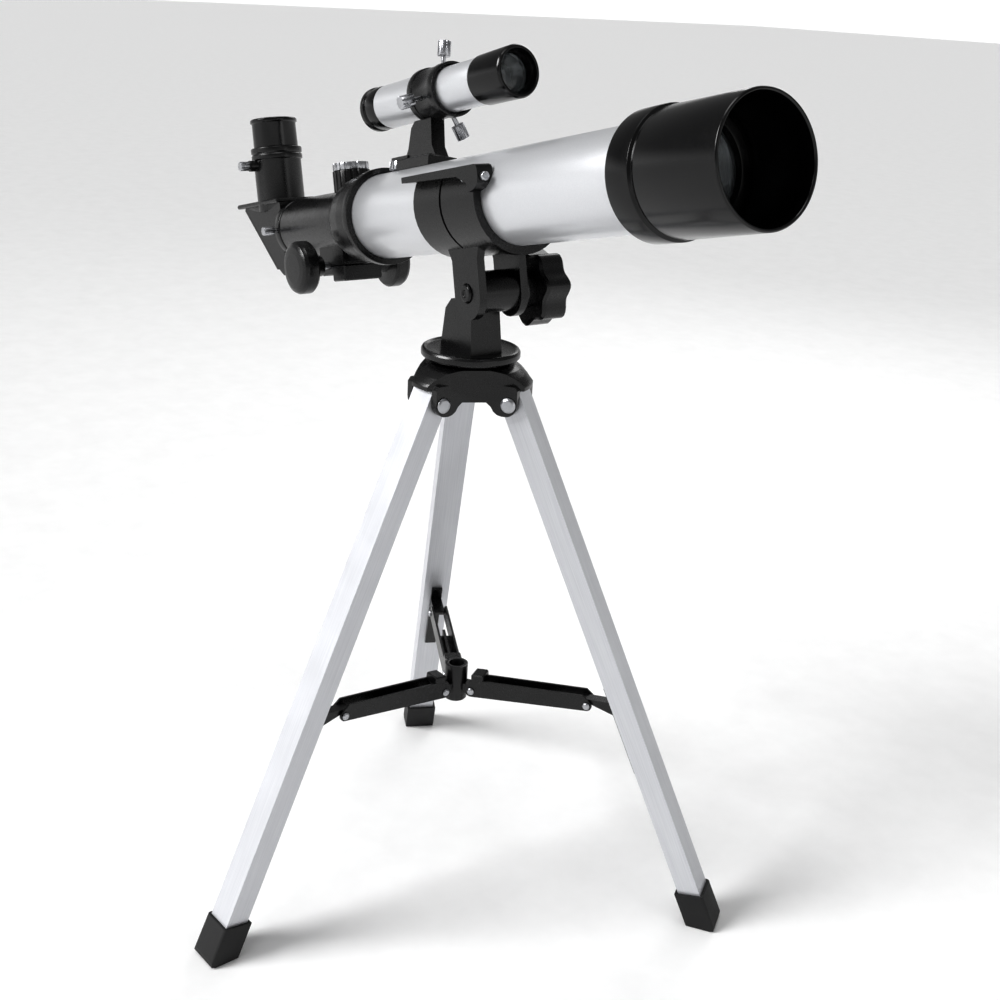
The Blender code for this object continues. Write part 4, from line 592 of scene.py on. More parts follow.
def boot(number, hinge, foot):
    """A rubber boot with a level sole; its outline is in the leg's frame."""
    reach = LEG_DEPTH / 2 + GAP + BOOT_WALL
    half = LEG_WIDTH / 2 + GAP + BOOT_WALL
    slope = math.tan(LEG_SPLAY)
    sole_mid = -LEG_REACH

    def level(x, height):
        return (x, sole_mid - x * slope + height / math.cos(LEG_SPLAY))

    toe = 4.0 * MM
    outline = [
        level(-reach, 0), level(reach - toe, 0), level(reach - 0.9 * MM, 1.0 * MM),
        level(reach, toe), level(reach, BOOT_HEIGHT), level(-reach, BOOT_HEIGHT - 2.5 * MM),
    ]
    body = plate(outline, -half, half)
    bevelled = [
        e
        for e in body.edges
        if abs(e.verts[0].co.x - e.verts[1].co.x) < 1e-6
        and abs(e.verts[0].co.x - reach) < 1e-6
        and abs(e.verts[0].co.z - e.verts[1].co.z) > 5 * MM
    ]
    bmesh.ops.bevel(
        body, geom=bevelled, offset=2.2 * MM, segments=3, profile=0.5, affect="EDGES",
        material=-1,
    )
    socket = block(
        (-LEG_DEPTH / 2 - GAP, -LEG_WIDTH / 2 - GAP, -foot - GAP),
        (LEG_DEPTH / 2 + GAP, LEG_WIDTH / 2 + GAP, LEG_TOP),
    )
    piece(f"leg_boot_{number}", hinge, "boot_rubber", body, cuts=[socket])


def bracket(number, hinge):
    """A strip on the leg's inner face with a tongue that reaches over the brace's outer pin."""
    half = BRACE_GAP / 2 - TONGUE_PLAY
    face = -LEG_DEPTH / 2 - GAP
    strip = [
        (face, -BRACE_STATION + 9.0 * MM), (face, -BRACE_STATION - STRIP_LENGTH),
        (face - STRIP_THICKNESS, -BRACE_STATION - STRIP_LENGTH + STRIP_THICKNESS),
        (face - STRIP_THICKNESS, -BRACE_STATION + 9.0 * MM),
    ]
    pin = (-BRACE_INSET, -BRACE_STATION)
    seat = PIN_RADIUS + 0.8 * MM
    root = face - STRIP_THICKNESS / 2 - pin[0]
    level_fall = math.tan(LEG_SPLAY)
    swing_fall = 0.84  # slope that stays above the pin as the leg folds
    tongue = [
        (pin[0] - 3.6 * MM, pin[1] + seat + 2.6 * MM), (pin[0] - 3.6 * MM, pin[1] + seat),
        (pin[0], pin[1] + seat), (pin[0] + root, pin[1] + seat - swing_fall * root),
        (pin[0] + root, pin[1] + seat + 3.4 * MM - level_fall * root),
        (pin[0] - 2.8 * MM, pin[1] + seat + 3.4 * MM),
    ]
    piece(
        f"brace_bracket_{number}", hinge, "black_plastic", plate(strip, -half, half),
        adds=[plate(tongue, 0.02 * MM - half, half - 0.02 * MM)],
    )


def spreader(head):
    """The hub on the tripod's axis and its three braces."""
    along = BRACE_STATION
    outer_radius = PIVOT_RADIUS + along * math.sin(LEG_SPLAY) - BRACE_INSET * math.cos(LEG_SPLAY)
    outer_height = -along * math.cos(LEG_SPLAY) - BRACE_INSET * math.sin(LEG_SPLAY)
    pin_height = outer_height - HUB_DROP
    run = outer_radius - HUB_PIN_RADIUS
    length = math.hypot(run, HUB_DROP)
    rise = math.atan2(HUB_DROP, run)
    axis = empty("spreader_axis", head, (0, 0, pin_height))
    tongue_half = BRACE_GAP / 2 - TONGUE_PLAY
    end = 3.5 * MM
    lugs = []
    holes = []
    for azimuth in LEG_AZIMUTHS:
        turn = Matrix.Rotation(math.radians(azimuth), 3, "Z")
        outline = [(HUB_BORE + 0.8 * MM, end)]
        outline += [(HUB_BORE + 0.8 * MM, -end)]
        outline += arc((HUB_PIN_RADIUS, 0), end, -90, 90, 6)
        lugs.append(moved(plate(outline, -tongue_half, tongue_half), turn))
        hole = rod(PIN_RADIUS + GAP, -2 * end, 2 * end, "Y", 12, (HUB_PIN_RADIUS, 0, 0))
        holes.append(moved(hole, turn))
    socket = turned(
        [
            (0, -10.0 * MM), (HUB_RADIUS - 1.0 * MM, -10.0 * MM), (HUB_RADIUS, -9.0 * MM),
            (HUB_RADIUS, 16.5 * MM), (HUB_BORE, 16.5 * MM), (HUB_BORE, -6.0 * MM), (0, -6.0 * MM),
        ],
        steps=20,
    )
    piece("spreader_hub", axis, "black_plastic", socket, lugs, holes)
    for number, azimuth in enumerate(LEG_AZIMUTHS, 1):
        turn = math.radians(azimuth)
        spot = (HUB_PIN_RADIUS * math.cos(turn), HUB_PIN_RADIUS * math.sin(turn), 0)
        hinge = empty(f"brace_hinge_{number}", axis, spot, (0, -rise, turn))
        brace(number, hinge, length)


def brace(number, hinge, length):
    """An open-topped channel, bridged over the hub's lug, from the hub pin to the outer pin."""
    inner = BRACE_GAP / 2
    outer = inner + BRACE_WALL
    tail = 3.6 * MM
    wall = arc((0, 0), 4.2 * MM, 180, 270, 5)
    wall += arc((length, 0), tail, -90, 50, 7)
    wall += [
        (length - 2.4 * MM, 7.4 * MM), (14.0 * MM, 8.3 * MM), (0.0, 8.3 * MM),
        (-3.0 * MM, 4.5 * MM),
    ]
    floor_start = 12.0 * MM
    floor_end = length - 29.0 * MM
    sides = [plate(wall, side * inner, side * outer) for side in (-1, 1)]
    floor = block(
        (floor_start, -inner - 0.5 * MM, -3.6 * MM), (floor_end, inner + 0.5 * MM, -2.0 * MM),
    )
    rib = block(
        (floor_start + 1 * MM, -1.0 * MM, -3.0 * MM), (floor_end - 1 * MM, 1.0 * MM, 4.0 * MM)
    )
    bridge = block((0.8 * MM, -outer, 6.2 * MM), (9.6 * MM, outer, 12.4 * MM), 0.8 * MM, 1)
    pin_holes = [
        rod(PIN_RADIUS + GAP, -2 * outer, 2 * outer, "Y", 12, (x, 0, 0)) for x in (0, length)
    ]
    piece(
        f"brace_{number}", hinge, "black_plastic", floor, [*sides, rib, bridge], pin_holes,
    )
    for name, x in (("inner", 0), ("outer", length)):
        pin = rivet(PIN_RADIUS, PIN_HEAD_RADIUS, outer + GAP, 1.2 * MM)
        piece(f"brace_{name}_pin_{number}", hinge, "rivet_steel", moved(pin, shift=(x, 0, 0)))


# --- Yoke and cradle ------------------------------------------------------------------


def yoke(swivel):
    """The disc that turns on the head and the post that carries the altitude axis."""
    lip = 1.2 * MM
    disc = turned(
        [
            (0, 0), (DISC_BASE_RADIUS, 0), (DISC_BASE_RADIUS + 1.8 * MM, 1.2 * MM),
            (DISC_RADIUS - 0.8 * MM, 2.6 * MM), (DISC_RADIUS, 3.6 * MM),
            (DISC_RADIUS, DISC_HEIGHT - 2.0 * MM),
            (DISC_RADIUS - 0.9 * MM, DISC_HEIGHT - 0.5 * MM),
            (DISC_RADIUS - 2.2 * MM, DISC_HEIGHT), (DISC_RADIUS - 3.4 * MM, DISC_HEIGHT - lip),
            (0, DISC_HEIGHT - lip),
        ],
        steps=36,
    )
    top = ALTITUDE_RISE - YOKE_HUB_RADIUS * 0.72
    front = POST_LENGTH / 2
    side = [
        (-front, DISC_HEIGHT - 2 * lip), (front, DISC_HEIGHT - 2 * lip), (front - 4.1 * MM, top),
        (-front + 9.0 * MM, top), (-front + 3.0 * MM, top - 7.0 * MM),
    ]
    post = plate(side, -POST_WIDTH / 2, POST_WIDTH / 2)
    for vert in post.verts:
        vert.co.y *= 1 - POST_TAPER * vert.co.z / top
    hub_spot = (ALTITUDE_FORWARD, 0, ALTITUDE_RISE)
    hub = rod(YOKE_HUB_RADIUS, -YOKE_HUB_WIDTH / 2, YOKE_HUB_WIDTH / 2, "Y", 32, hub_spot)
    cross = rod(ALTITUDE_BOLT_RADIUS + GAP, -YOKE_HUB_WIDTH, YOKE_HUB_WIDTH, "Y", 16, hub_spot)
    bolt_hole = rod(AZIMUTH_BOLT_RADIUS + GAP, -lip, 28.0 * MM, steps=16)
    piece("mount_yoke", swivel, "black_plastic", disc, [post, hub], [cross, bolt_hole])
    washer_top = -HEAD_ROOF - 2 * GAP
    washer = 1.2 * MM
    piece(
        "azimuth_washer", swivel, "rivet_steel",
        pipe(9.0 * MM, AZIMUTH_BOLT_RADIUS + GAP, washer_top - washer, washer_top, steps=24),
    )
    under = washer_top - washer - GAP
    bolt = turned(
        [
            (0, under - 4.0 * MM), (5.2 * MM, under - 4.0 * MM), (5.2 * MM, under),
            (AZIMUTH_BOLT_RADIUS, under), (AZIMUTH_BOLT_RADIUS, 26.0 * MM), (0, 26.0 * MM),
        ],
        steps=12,
    )
    piece("azimuth_bolt", swivel, "rivet_steel", bolt)


def cradle(tilt, tube):
    """The half-shell under the tube with its two ears, in the tube's frame."""
    inner = TUBE_RADIUS + GAP
    outer = inner + CRADLE_WALL
    rim = 1.4 * MM
    groove = 1.0 * MM
    middle = (CRADLE_REAR + CRADLE_FRONT) / 2 - 4.0 * MM
    profile = [
        (inner, CRADLE_REAR), (outer, CRADLE_REAR), (outer, middle - groove),
        (outer - groove, middle - groove), (outer - groove, middle + groove),
        (outer, middle + groove), (outer, CRADLE_FRONT - 5.0 * MM),
        (outer + rim, CRADLE_FRONT - 5.0 * MM), (outer + rim, CRADLE_FRONT),
        (inner, CRADLE_FRONT),
    ]
    shell = bmesh.new()
    start = Matrix.Rotation(math.pi - CRADLE_WRAP, 3, "X") @ Vector((0, 0, 1))
    face = shell.faces.new(
        [shell.verts.new((x, radius * start.y, radius * start.z)) for radius, x in profile]
    )
    bmesh.ops.spin(
        shell, geom=[face, *face.edges, *face.verts], cent=(0, 0, 0), axis=(1, 0, 0),
        angle=2 * CRADLE_WRAP, steps=28,
    )
    lip_height = -outer * math.cos(CRADLE_WRAP)
    lip_top = lip_height + 0.9 * MM
    nose = CRADLE_FRONT + 9.0 * MM
    lip = [
        (CRADLE_REAR - 5.5 * MM, lip_height - 2.6 * MM),
        (CRADLE_FRONT - 13.0 * MM, lip_height - 4.4 * MM),
        (CRADLE_FRONT - 3.0 * MM, lip_height - 9.0 * MM),
        (CRADLE_FRONT - 1.0 * MM, lip_height - 14.0 * MM),
        (nose - 4.0 * MM, lip_height - 12.5 * MM), (nose - 0.8 * MM, lip_height - 9.6 * MM),
        (nose, lip_height - 6.4 * MM), (nose, lip_height - 2.2 * MM),
        (nose - 1.0 * MM, lip_top - 0.9 * MM), (nose - 3.0 * MM, lip_top),
        (CRADLE_REAR - 5.0 * MM, lip_top), (CRADLE_REAR - 5.5 * MM, lip_top - 0.5 * MM),
    ]
    lips = []
    for side in (-1, 1):
        y = side * outer * math.sin(CRADLE_WRAP)
        low_y, high_y = sorted((y - side * 1.6 * MM, y + side * 9.0 * MM))
        lips.append(plate(lip, low_y, high_y))
    ear_inner = YOKE_HUB_WIDTH / 2 + GAP
    drop = TUBE_RADIUS + PIVOT_DROP
    ears = []
    root = -inner + 7.0 * MM
    for side in (-1, 1):
        front = PIVOT_STATION + CRADLE_EAR_HALF
        rear = PIVOT_STATION - CRADLE_EAR_HALF
        outline = [(front + 4 * MM, root), (front, root - 12 * MM)]
        outline += arc((PIVOT_STATION, -drop - 2.6 * MM), CRADLE_EAR_HALF, 0, -180, 12)
        outline += [(rear, root - 12 * MM), (rear - 6 * MM, root)]
        low, high = sorted((side * ear_inner, side * (ear_inner + CRADLE_EAR)))
        ears.append(plate(outline, low, high))
    bore = rod(inner, CRADLE_REAR - 20 * MM, CRADLE_FRONT + 20 * MM, "X", 44)
    spot = (PIVOT_STATION, 0, -drop)
    cross = rod(ALTITUDE_BOLT_RADIUS + GAP, -2 * STAR_RADIUS, 2 * STAR_RADIUS, "Y", 16, spot)
    sink_depth = ear_inner + CRADLE_EAR - 1.6 * MM
    sink = rod(6.2 * MM, -2 * STAR_RADIUS, -sink_depth, "Y", 20, spot)
    screw_y = -outer * math.sin(CRADLE_WRAP) - 5.2 * MM
    screw_z = lip_height - 6.2 * MM
    low, high = CRADLE_FRONT - 14 * MM, CRADLE_FRONT + 20 * MM
    screw_hole = rod(1.5 * MM + GAP, low, high, "X", 12, (0, screw_y, screw_z))
    piece(
        "tube_cradle", tube, "black_plastic", shell, [*lips, *ears], [bore, cross, sink, screw_hole]
    )
    front = CRADLE_FRONT + 9.0 * MM + GAP
    screw = turned(
        [
            (0, front + 3.0 * MM), (2.0 * MM, front + 3.0 * MM), (2.6 * MM, front + 2.4 * MM),
            (2.6 * MM, front), (1.5 * MM, front), (1.5 * MM, CRADLE_FRONT - 12 * MM),
            (0, CRADLE_FRONT - 12 * MM),
        ],
        "X", 16, (0, screw_y, screw_z),
    )
    piece("cradle_screw", tube, "screw_chrome", screw)
    altitude_clamp(tilt, sink_depth, ear_inner + CRADLE_EAR)


def altitude_clamp(tilt, sink_depth, ear_outer):
    """The cross bolt, its washer and the star knob, on the altitude axis."""
    washer_low = ear_outer + GAP
    washer_high = washer_low + 2.6 * MM
    neck = washer_high + GAP
    rim = neck + 4.8 * MM
    back = rim + 18.4 * MM
    head_low = -sink_depth - GAP - 3.0 * MM
    bolt = turned(
        [
            (0, head_low + 0.8 * MM), (2.0 * MM, head_low + 0.8 * MM), (2.4 * MM, head_low),
            (4.8 * MM, head_low), (5.6 * MM, head_low + 1.0 * MM), (5.6 * MM, -sink_depth - GAP),
            (ALTITUDE_BOLT_RADIUS, -sink_depth - GAP), (ALTITUDE_BOLT_RADIUS, rim + 10.0 * MM),
            (0, rim + 10.0 * MM),
        ],
        "Y", 20,
    )
    piece("altitude_bolt", tilt, "black_enamel", bolt)
    piece(
        "altitude_washer", tilt, "black_plastic",
        pipe(13.0 * MM, ALTITUDE_BOLT_RADIUS + GAP, washer_low, washer_high, "Y", 28),
    )
    outline = []
    count = 8 * STAR_LOBES
    for i in range(count):
        angle = 2 * math.pi * i / count
        radius = STAR_RADIUS - 2.6 * MM * (1 - math.cos(STAR_LOBES * angle)) / 2 * 1.5
        outline.append((radius * math.cos(angle), radius * math.sin(angle)))
    lobes = plate(outline, rim, back)
    rims = [e for e in lobes.edges if abs(e.verts[0].co.y - e.verts[1].co.y) < 1e-7]
    bmesh.ops.bevel(
        lobes, geom=rims, offset=1.6 * MM, segments=1, profile=0.5, affect="EDGES", material=-1
    )
    neck_rod = rod(12.0 * MM, neck, rim + 2.0 * MM, "Y", 28)
    hole = rod(ALTITUDE_BOLT_RADIUS + GAP, 0, rim + 10.6 * MM, "Y", 16)
    piece("altitude_knob", tilt, "black_plastic", lobes, [neck_rod], [hole])


# --- Optical tube ---------------------------------------------------------------------


def optical_tube(tube):
    inner = TUBE_RADIUS - TUBE_WALL
    stud = rod(2.0 * MM + GAP, 0, 2 * TUBE_RADIUS, steps=12, shift=(FOOT_NUT_STATION, 0, 0))
    stud = moved(stud, Matrix.Rotation(-FINDER_ROLL, 3, "X"))
    piece(
        "main_tube", tube, "silver_enamel",
        pipe(TUBE_RADIUS, inner, TUBE_REAR, TUBE_FRONT, "X", 44), cuts=[stud],
    )
    skin = TUBE_RADIUS + SHIELD_STEP
    bore = skin - SHIELD_WALL
    step = TUBE_FRONT + GAP
    shield = [
        (TUBE_RADIUS + GAP, SHIELD_REAR), (skin - 0.5 * MM, SHIELD_REAR),
        (skin + 0.9 * MM, SHIELD_REAR + 2.0 * MM), (skin + 1.0 * MM, step + 1.0 * MM),
        (skin - 0.8 * MM, step + 1.8 * MM), (skin - 0.8 * MM, step + 3.2 * MM),
        (skin, step + 4.0 * MM), (skin, SHIELD_FRONT - 0.8 * MM), (skin - 0.6 * MM, SHIELD_FRONT),
        (bore + 0.6 * MM, SHIELD_FRONT), (bore, SHIELD_FRONT - 0.8 * MM), (bore, step),
        (TUBE_RADIUS + GAP, step),
    ]
    piece("dew_shield", tube, "black_enamel", turned(shield, "X", 44))
    flange = bore - GAP
    seat = LENS_RADIUS + GAP
    lens_back = LENS_STATION - 6.5 * MM
    cell = [
        (inner - GAP - 2.0 * MM, TUBE_FRONT - 14.0 * MM), (inner - GAP, TUBE_FRONT - 14.0 * MM),
        (inner - GAP, step), (flange, step), (flange, LENS_STATION + 4.0 * MM),
        (seat, LENS_STATION + 4.0 * MM), (seat, lens_back - GAP),
        (LENS_RADIUS - 1.8 * MM, lens_back - GAP),
    ]
    piece("objective_cell", tube, "black_enamel", turned(cell, "X", 36))
    lens = [
        (0, LENS_STATION + 1.1 * MM), (13.0 * MM, LENS_STATION + 0.8 * MM),
        (LENS_RADIUS, LENS_STATION), (LENS_RADIUS, lens_back), (0, lens_back),
    ]
    piece("objective_lens", tube, "lens_glass", turned(lens, "X", 32))


# --- Focuser --------------------------------------------------------------------------


def focuser(tube):
    bore = DRAW_RADIUS + GAP + 0.1 * MM
    skin = bore + HOUSING_WALL
    sleeve = TUBE_RADIUS + GAP
    collar = sleeve + 3.2 * MM
    tube_stop = TUBE_REAR - GAP
    housing = [
        (0, HOUSING_REAR), (skin - 0.8 * MM, HOUSING_REAR), (skin, HOUSING_REAR + 0.8 * MM),
        (skin, FLARE_REAR), (skin + 4.0 * MM, FLARE_REAR + 6.0 * MM),
        (skin + 7.0 * MM, FLARE_REAR + 14.0 * MM), (skin + 8.6 * MM, FLARE_REAR + 25.0 * MM),
        (collar - 0.6 * MM, HOUSING_FRONT - 9.0 * MM),
        (collar - 0.6 * MM, HOUSING_FRONT - 7.0 * MM),
        (collar + 0.6 * MM, HOUSING_FRONT - 6.4 * MM), (collar + 0.6 * MM, HOUSING_FRONT),
        (0, HOUSING_FRONT),
    ]
    cavity = [
        (0, HOUSING_REAR - HOUSING_WALL), (bore, HOUSING_REAR - HOUSING_WALL),
        (bore, FLARE_REAR + 10.0 * MM), (bore + 4.0 * MM, tube_stop), (sleeve, tube_stop),
        (sleeve, HOUSING_FRONT + HOUSING_WALL), (0, HOUSING_FRONT + HOUSING_WALL),
    ]
    rack_line = DRAW_RADIUS + RACK_RISE
    axle = rack_line + PINION_PITCH_RADIUS
    tip = PINION_PITCH_RADIUS + TOOTH_HEIGHT / 2
    box_low = axle + SHAFT_RADIUS + 4.6 * MM
    split = axle + GAP / 2
    gear_box = block(
        (PINION_STATION - 12.5 * MM, -GEAR_BOX_HALF, -split),
        (PINION_STATION + 22.0 * MM, GEAR_BOX_HALF, -DRAW_RADIUS + 6.0 * MM),
    )
    toe_top = -DRAW_RADIUS - HOUSING_WALL - 0.5 * MM
    toe = block(
        (PINION_STATION + 21.0 * MM, -GEAR_BOX_HALF + 4 * MM, -split + 2 * MM),
        (PINION_STATION + 50.0 * MM, GEAR_BOX_HALF - 4 * MM, toe_top),
    )
    boss_top = LOCK_TOP - LOCK_HEIGHT - GAP
    boss = knurled(LOCK_RADIUS + 0.5 * MM, DRAW_RADIUS + 1.6 * MM, boss_top, 20, 0.7 * MM)
    boss = moved(boss, shift=(LOCK_STATION, 0, 0))
    slot = block(
        (HOUSING_REAR - 5 * MM, -RACK_WIDTH / 2 - 0.6 * MM, -rack_line - TOOTH_HEIGHT),
        (DRAW_FRONT + 8 * MM, RACK_WIDTH / 2 + 0.6 * MM, -DRAW_RADIUS + 5 * MM),
    )
    spot = (PINION_STATION, 0, -axle)
    well_half = RACK_WIDTH / 2 + 1.0 * MM

    def pinion_room():
        well = rod(tip + 0.7 * MM, -well_half, well_half, "Y", 20, spot)
        hole = rod(SHAFT_RADIUS + GAP, -2 * KNOB_INNER, 2 * KNOB_INNER, "Y", 16, spot)
        return [well, hole]

    lock_hole = rod(2.0 * MM + GAP, 0, 2 * LOCK_TOP, steps=12, shift=(LOCK_STATION, 0, 0))
    piece(
        "focuser_housing", tube, "black_plastic", turned(housing, "X", 36), [gear_box, toe, boss],
        [turned(cavity, "X", 36), slot, *pinion_room(), lock_hole],
    )
    cap = block(
        (PINION_STATION - 12.5 * MM, -GEAR_BOX_HALF, -box_low),
        (PINION_STATION + 22.0 * MM, GEAR_BOX_HALF, -split - GAP), 0.9 * MM, 1,
    )
    sump = block(
        (PINION_STATION + 4.0 * MM, -GEAR_BOX_HALF, -box_low - 4.4 * MM),
        (PINION_STATION + 22.0 * MM, GEAR_BOX_HALF, -axle - SHAFT_RADIUS - 2.0 * MM), 0.9 * MM, 1,
    )
    piece("pinion_cap", tube, "black_plastic", cap, adds=[sump], cuts=pinion_room())
    drawtube(tube, rack_line)
    focus_shaft(tube, axle, tip)
    lock_knob(tube)


def tooth_pitch():
    return 2 * math.pi * PINION_PITCH_RADIUS / PINION_TEETH


def drawtube(tube, rack_line):
    """The sliding tube with the rack along its underside and the clamp collar at its rear."""
    collar_rear = HOUSING_REAR - GAP - DRAW_COLLAR
    socket = BARREL_RADIUS + GAP
    skin = DRAW_RADIUS + HOUSING_WALL + 0.7 * MM
    body = [
        (socket, collar_rear), (skin - 0.7 * MM, collar_rear), (skin, collar_rear + 0.7 * MM),
        (skin, HOUSING_REAR - GAP - 0.7 * MM), (skin - 0.7 * MM, HOUSING_REAR - GAP),
        (DRAW_RADIUS, HOUSING_REAR - GAP), (DRAW_RADIUS, DRAW_FRONT), (socket, DRAW_FRONT),
    ]
    pitch = tooth_pitch()
    first = PINION_STATION - 6 * pitch
    count = int((DRAW_FRONT - first - GAP) / pitch)
    half_tip = (pitch / 2 - TOOTH_BACKLASH - 0.55 * TOOTH_HEIGHT * 0.6) / 2
    half_foot = (pitch / 2 - TOOTH_BACKLASH + 0.55 * TOOTH_HEIGHT * 0.6) / 2
    foot = -rack_line + TOOTH_HEIGHT / 2
    tip = -rack_line - TOOTH_HEIGHT / 2
    outline = [(first - pitch, -DRAW_RADIUS + 1.0 * MM), (first - pitch, foot)]
    for i in range(count):
        middle = first + i * pitch
        outline += [
            (middle - half_foot, foot), (middle - half_tip, tip), (middle + half_tip, tip),
            (middle + half_foot, foot),
        ]
    outline += [(DRAW_FRONT - GAP, foot), (DRAW_FRONT - GAP, -DRAW_RADIUS + 1.0 * MM)]
    rack = plate(outline, -RACK_WIDTH / 2, RACK_WIDTH / 2)
    screw_hole = rod(1.7 * MM, -2 * skin, 0, "Y", 12, (collar_rear + DRAW_COLLAR / 2, 0, 0))
    piece(
        "drawtube", tube, "black_enamel", turned(body, "X", 36), adds=[rack], cuts=[screw_hole]
    )
    setscrew(
        "diagonal_setscrew", tube, (collar_rear + DRAW_COLLAR / 2, 0, 0), BARREL_RADIUS + GAP,
        skin + 2.2 * MM, 9.0 * MM, 3.2 * MM,
    )


def setscrew(name, parent, spot, tip, head_start, head_length, head_radius):
    """A thumbscrew pointing at the origin from -Y: a thin shank and a ribbed head."""
    shank = 1.4 * MM
    neck = turned(
        [
            (0, -head_start - 1.0 * MM), (shank, -head_start - 1.0 * MM), (shank, -tip),
            (0, -tip),
        ],
        "Y", 12,
    )
    head = knurled(head_radius, -head_start - head_length, -head_start, 8, 0.5 * MM)
    head = moved(head, Matrix.Rotation(-math.pi / 2, 3, "X"))
    return piece(name, parent, "screw_chrome", moved(neck, shift=spot), [moved(head, shift=spot)])


def focus_shaft(tube, axle, tip):
    """The pinion with its shaft, and the knob at each end."""
    spot = (PINION_STATION, 0, -axle)
    pitch_angle = 360.0 / PINION_TEETH
    half_pitch = math.degrees((tooth_pitch() / 2 - TOOTH_BACKLASH) / 2 / PINION_PITCH_RADIUS)
    root = PINION_PITCH_RADIUS - TOOTH_HEIGHT / 2 - 0.2 * MM
    outline = []
    for i in range(PINION_TEETH):
        # A gap of the pinion faces the rack tooth below the tube's axis.
        middle = 90.0 + (i + 0.5) * pitch_angle
        outline.append((root, middle - 1.25 * half_pitch))
        outline.append((tip, middle - 0.55 * half_pitch))
        outline.append((tip, middle + 0.55 * half_pitch))
        outline.append((root, middle + 1.25 * half_pitch))
    points = [
        (radius * math.cos(math.radians(a)), radius * math.sin(math.radians(a)))
        for radius, a in outline
    ]
    gear = plate(points, -RACK_WIDTH / 2, RACK_WIDTH / 2)
    reach = KNOB_INNER + 5.0 * MM
    shaft = rod(SHAFT_RADIUS, -reach, reach, "Y", 16)
    piece("focus_pinion", tube, "rivet_steel", moved(gear, shift=spot), [moved(shaft, shift=spot)])
    for name, side in (("near", -1), ("far", 1)):
        knob = [
            (0, KNOB_INNER + 5.0 * MM + GAP), (SHAFT_RADIUS + GAP, KNOB_INNER + 5.0 * MM + GAP),
            (SHAFT_RADIUS + GAP, KNOB_INNER - 9.0 * MM), (7.0 * MM, KNOB_INNER - 9.0 * MM),
            (7.5 * MM, KNOB_INNER), (KNOB_RADIUS - 1.6 * MM, KNOB_INNER),
            (KNOB_RADIUS, KNOB_INNER + 1.8 * MM), (KNOB_RADIUS, KNOB_INNER + 0.68 * KNOB_WIDTH),
            (KNOB_RADIUS - 1.3 * MM, KNOB_INNER + 0.86 * KNOB_WIDTH),
            (KNOB_RADIUS - 4.0 * MM, KNOB_INNER + 0.96 * KNOB_WIDTH),
            (KNOB_RADIUS - 8.0 * MM, KNOB_INNER + KNOB_WIDTH), (0, KNOB_INNER + KNOB_WIDTH),
        ]
        shape = turned([(radius, side * y) for radius, y in knob], "Y", 28, spot)
        piece(f"focus_knob_{name}", tube, "black_plastic", shape)


def lock_knob(tube):
    """The ribbed knob on top that locks the drawtube, with its screw."""
    low = LOCK_TOP - LOCK_HEIGHT
    head = moved(knurled(LOCK_RADIUS, low, LOCK_TOP, 20, 0.7 * MM), shift=(LOCK_STATION, 0, 0))
    screw = rod(2.0 * MM, DRAW_RADIUS + GAP, low + 1.0 * MM, steps=12, shift=(LOCK_STATION, 0, 0))
    piece("focus_lock_knob", tube, "screw_chrome", head, [screw])


# --- Diagonal and eyepiece ------------------------------------------------------------


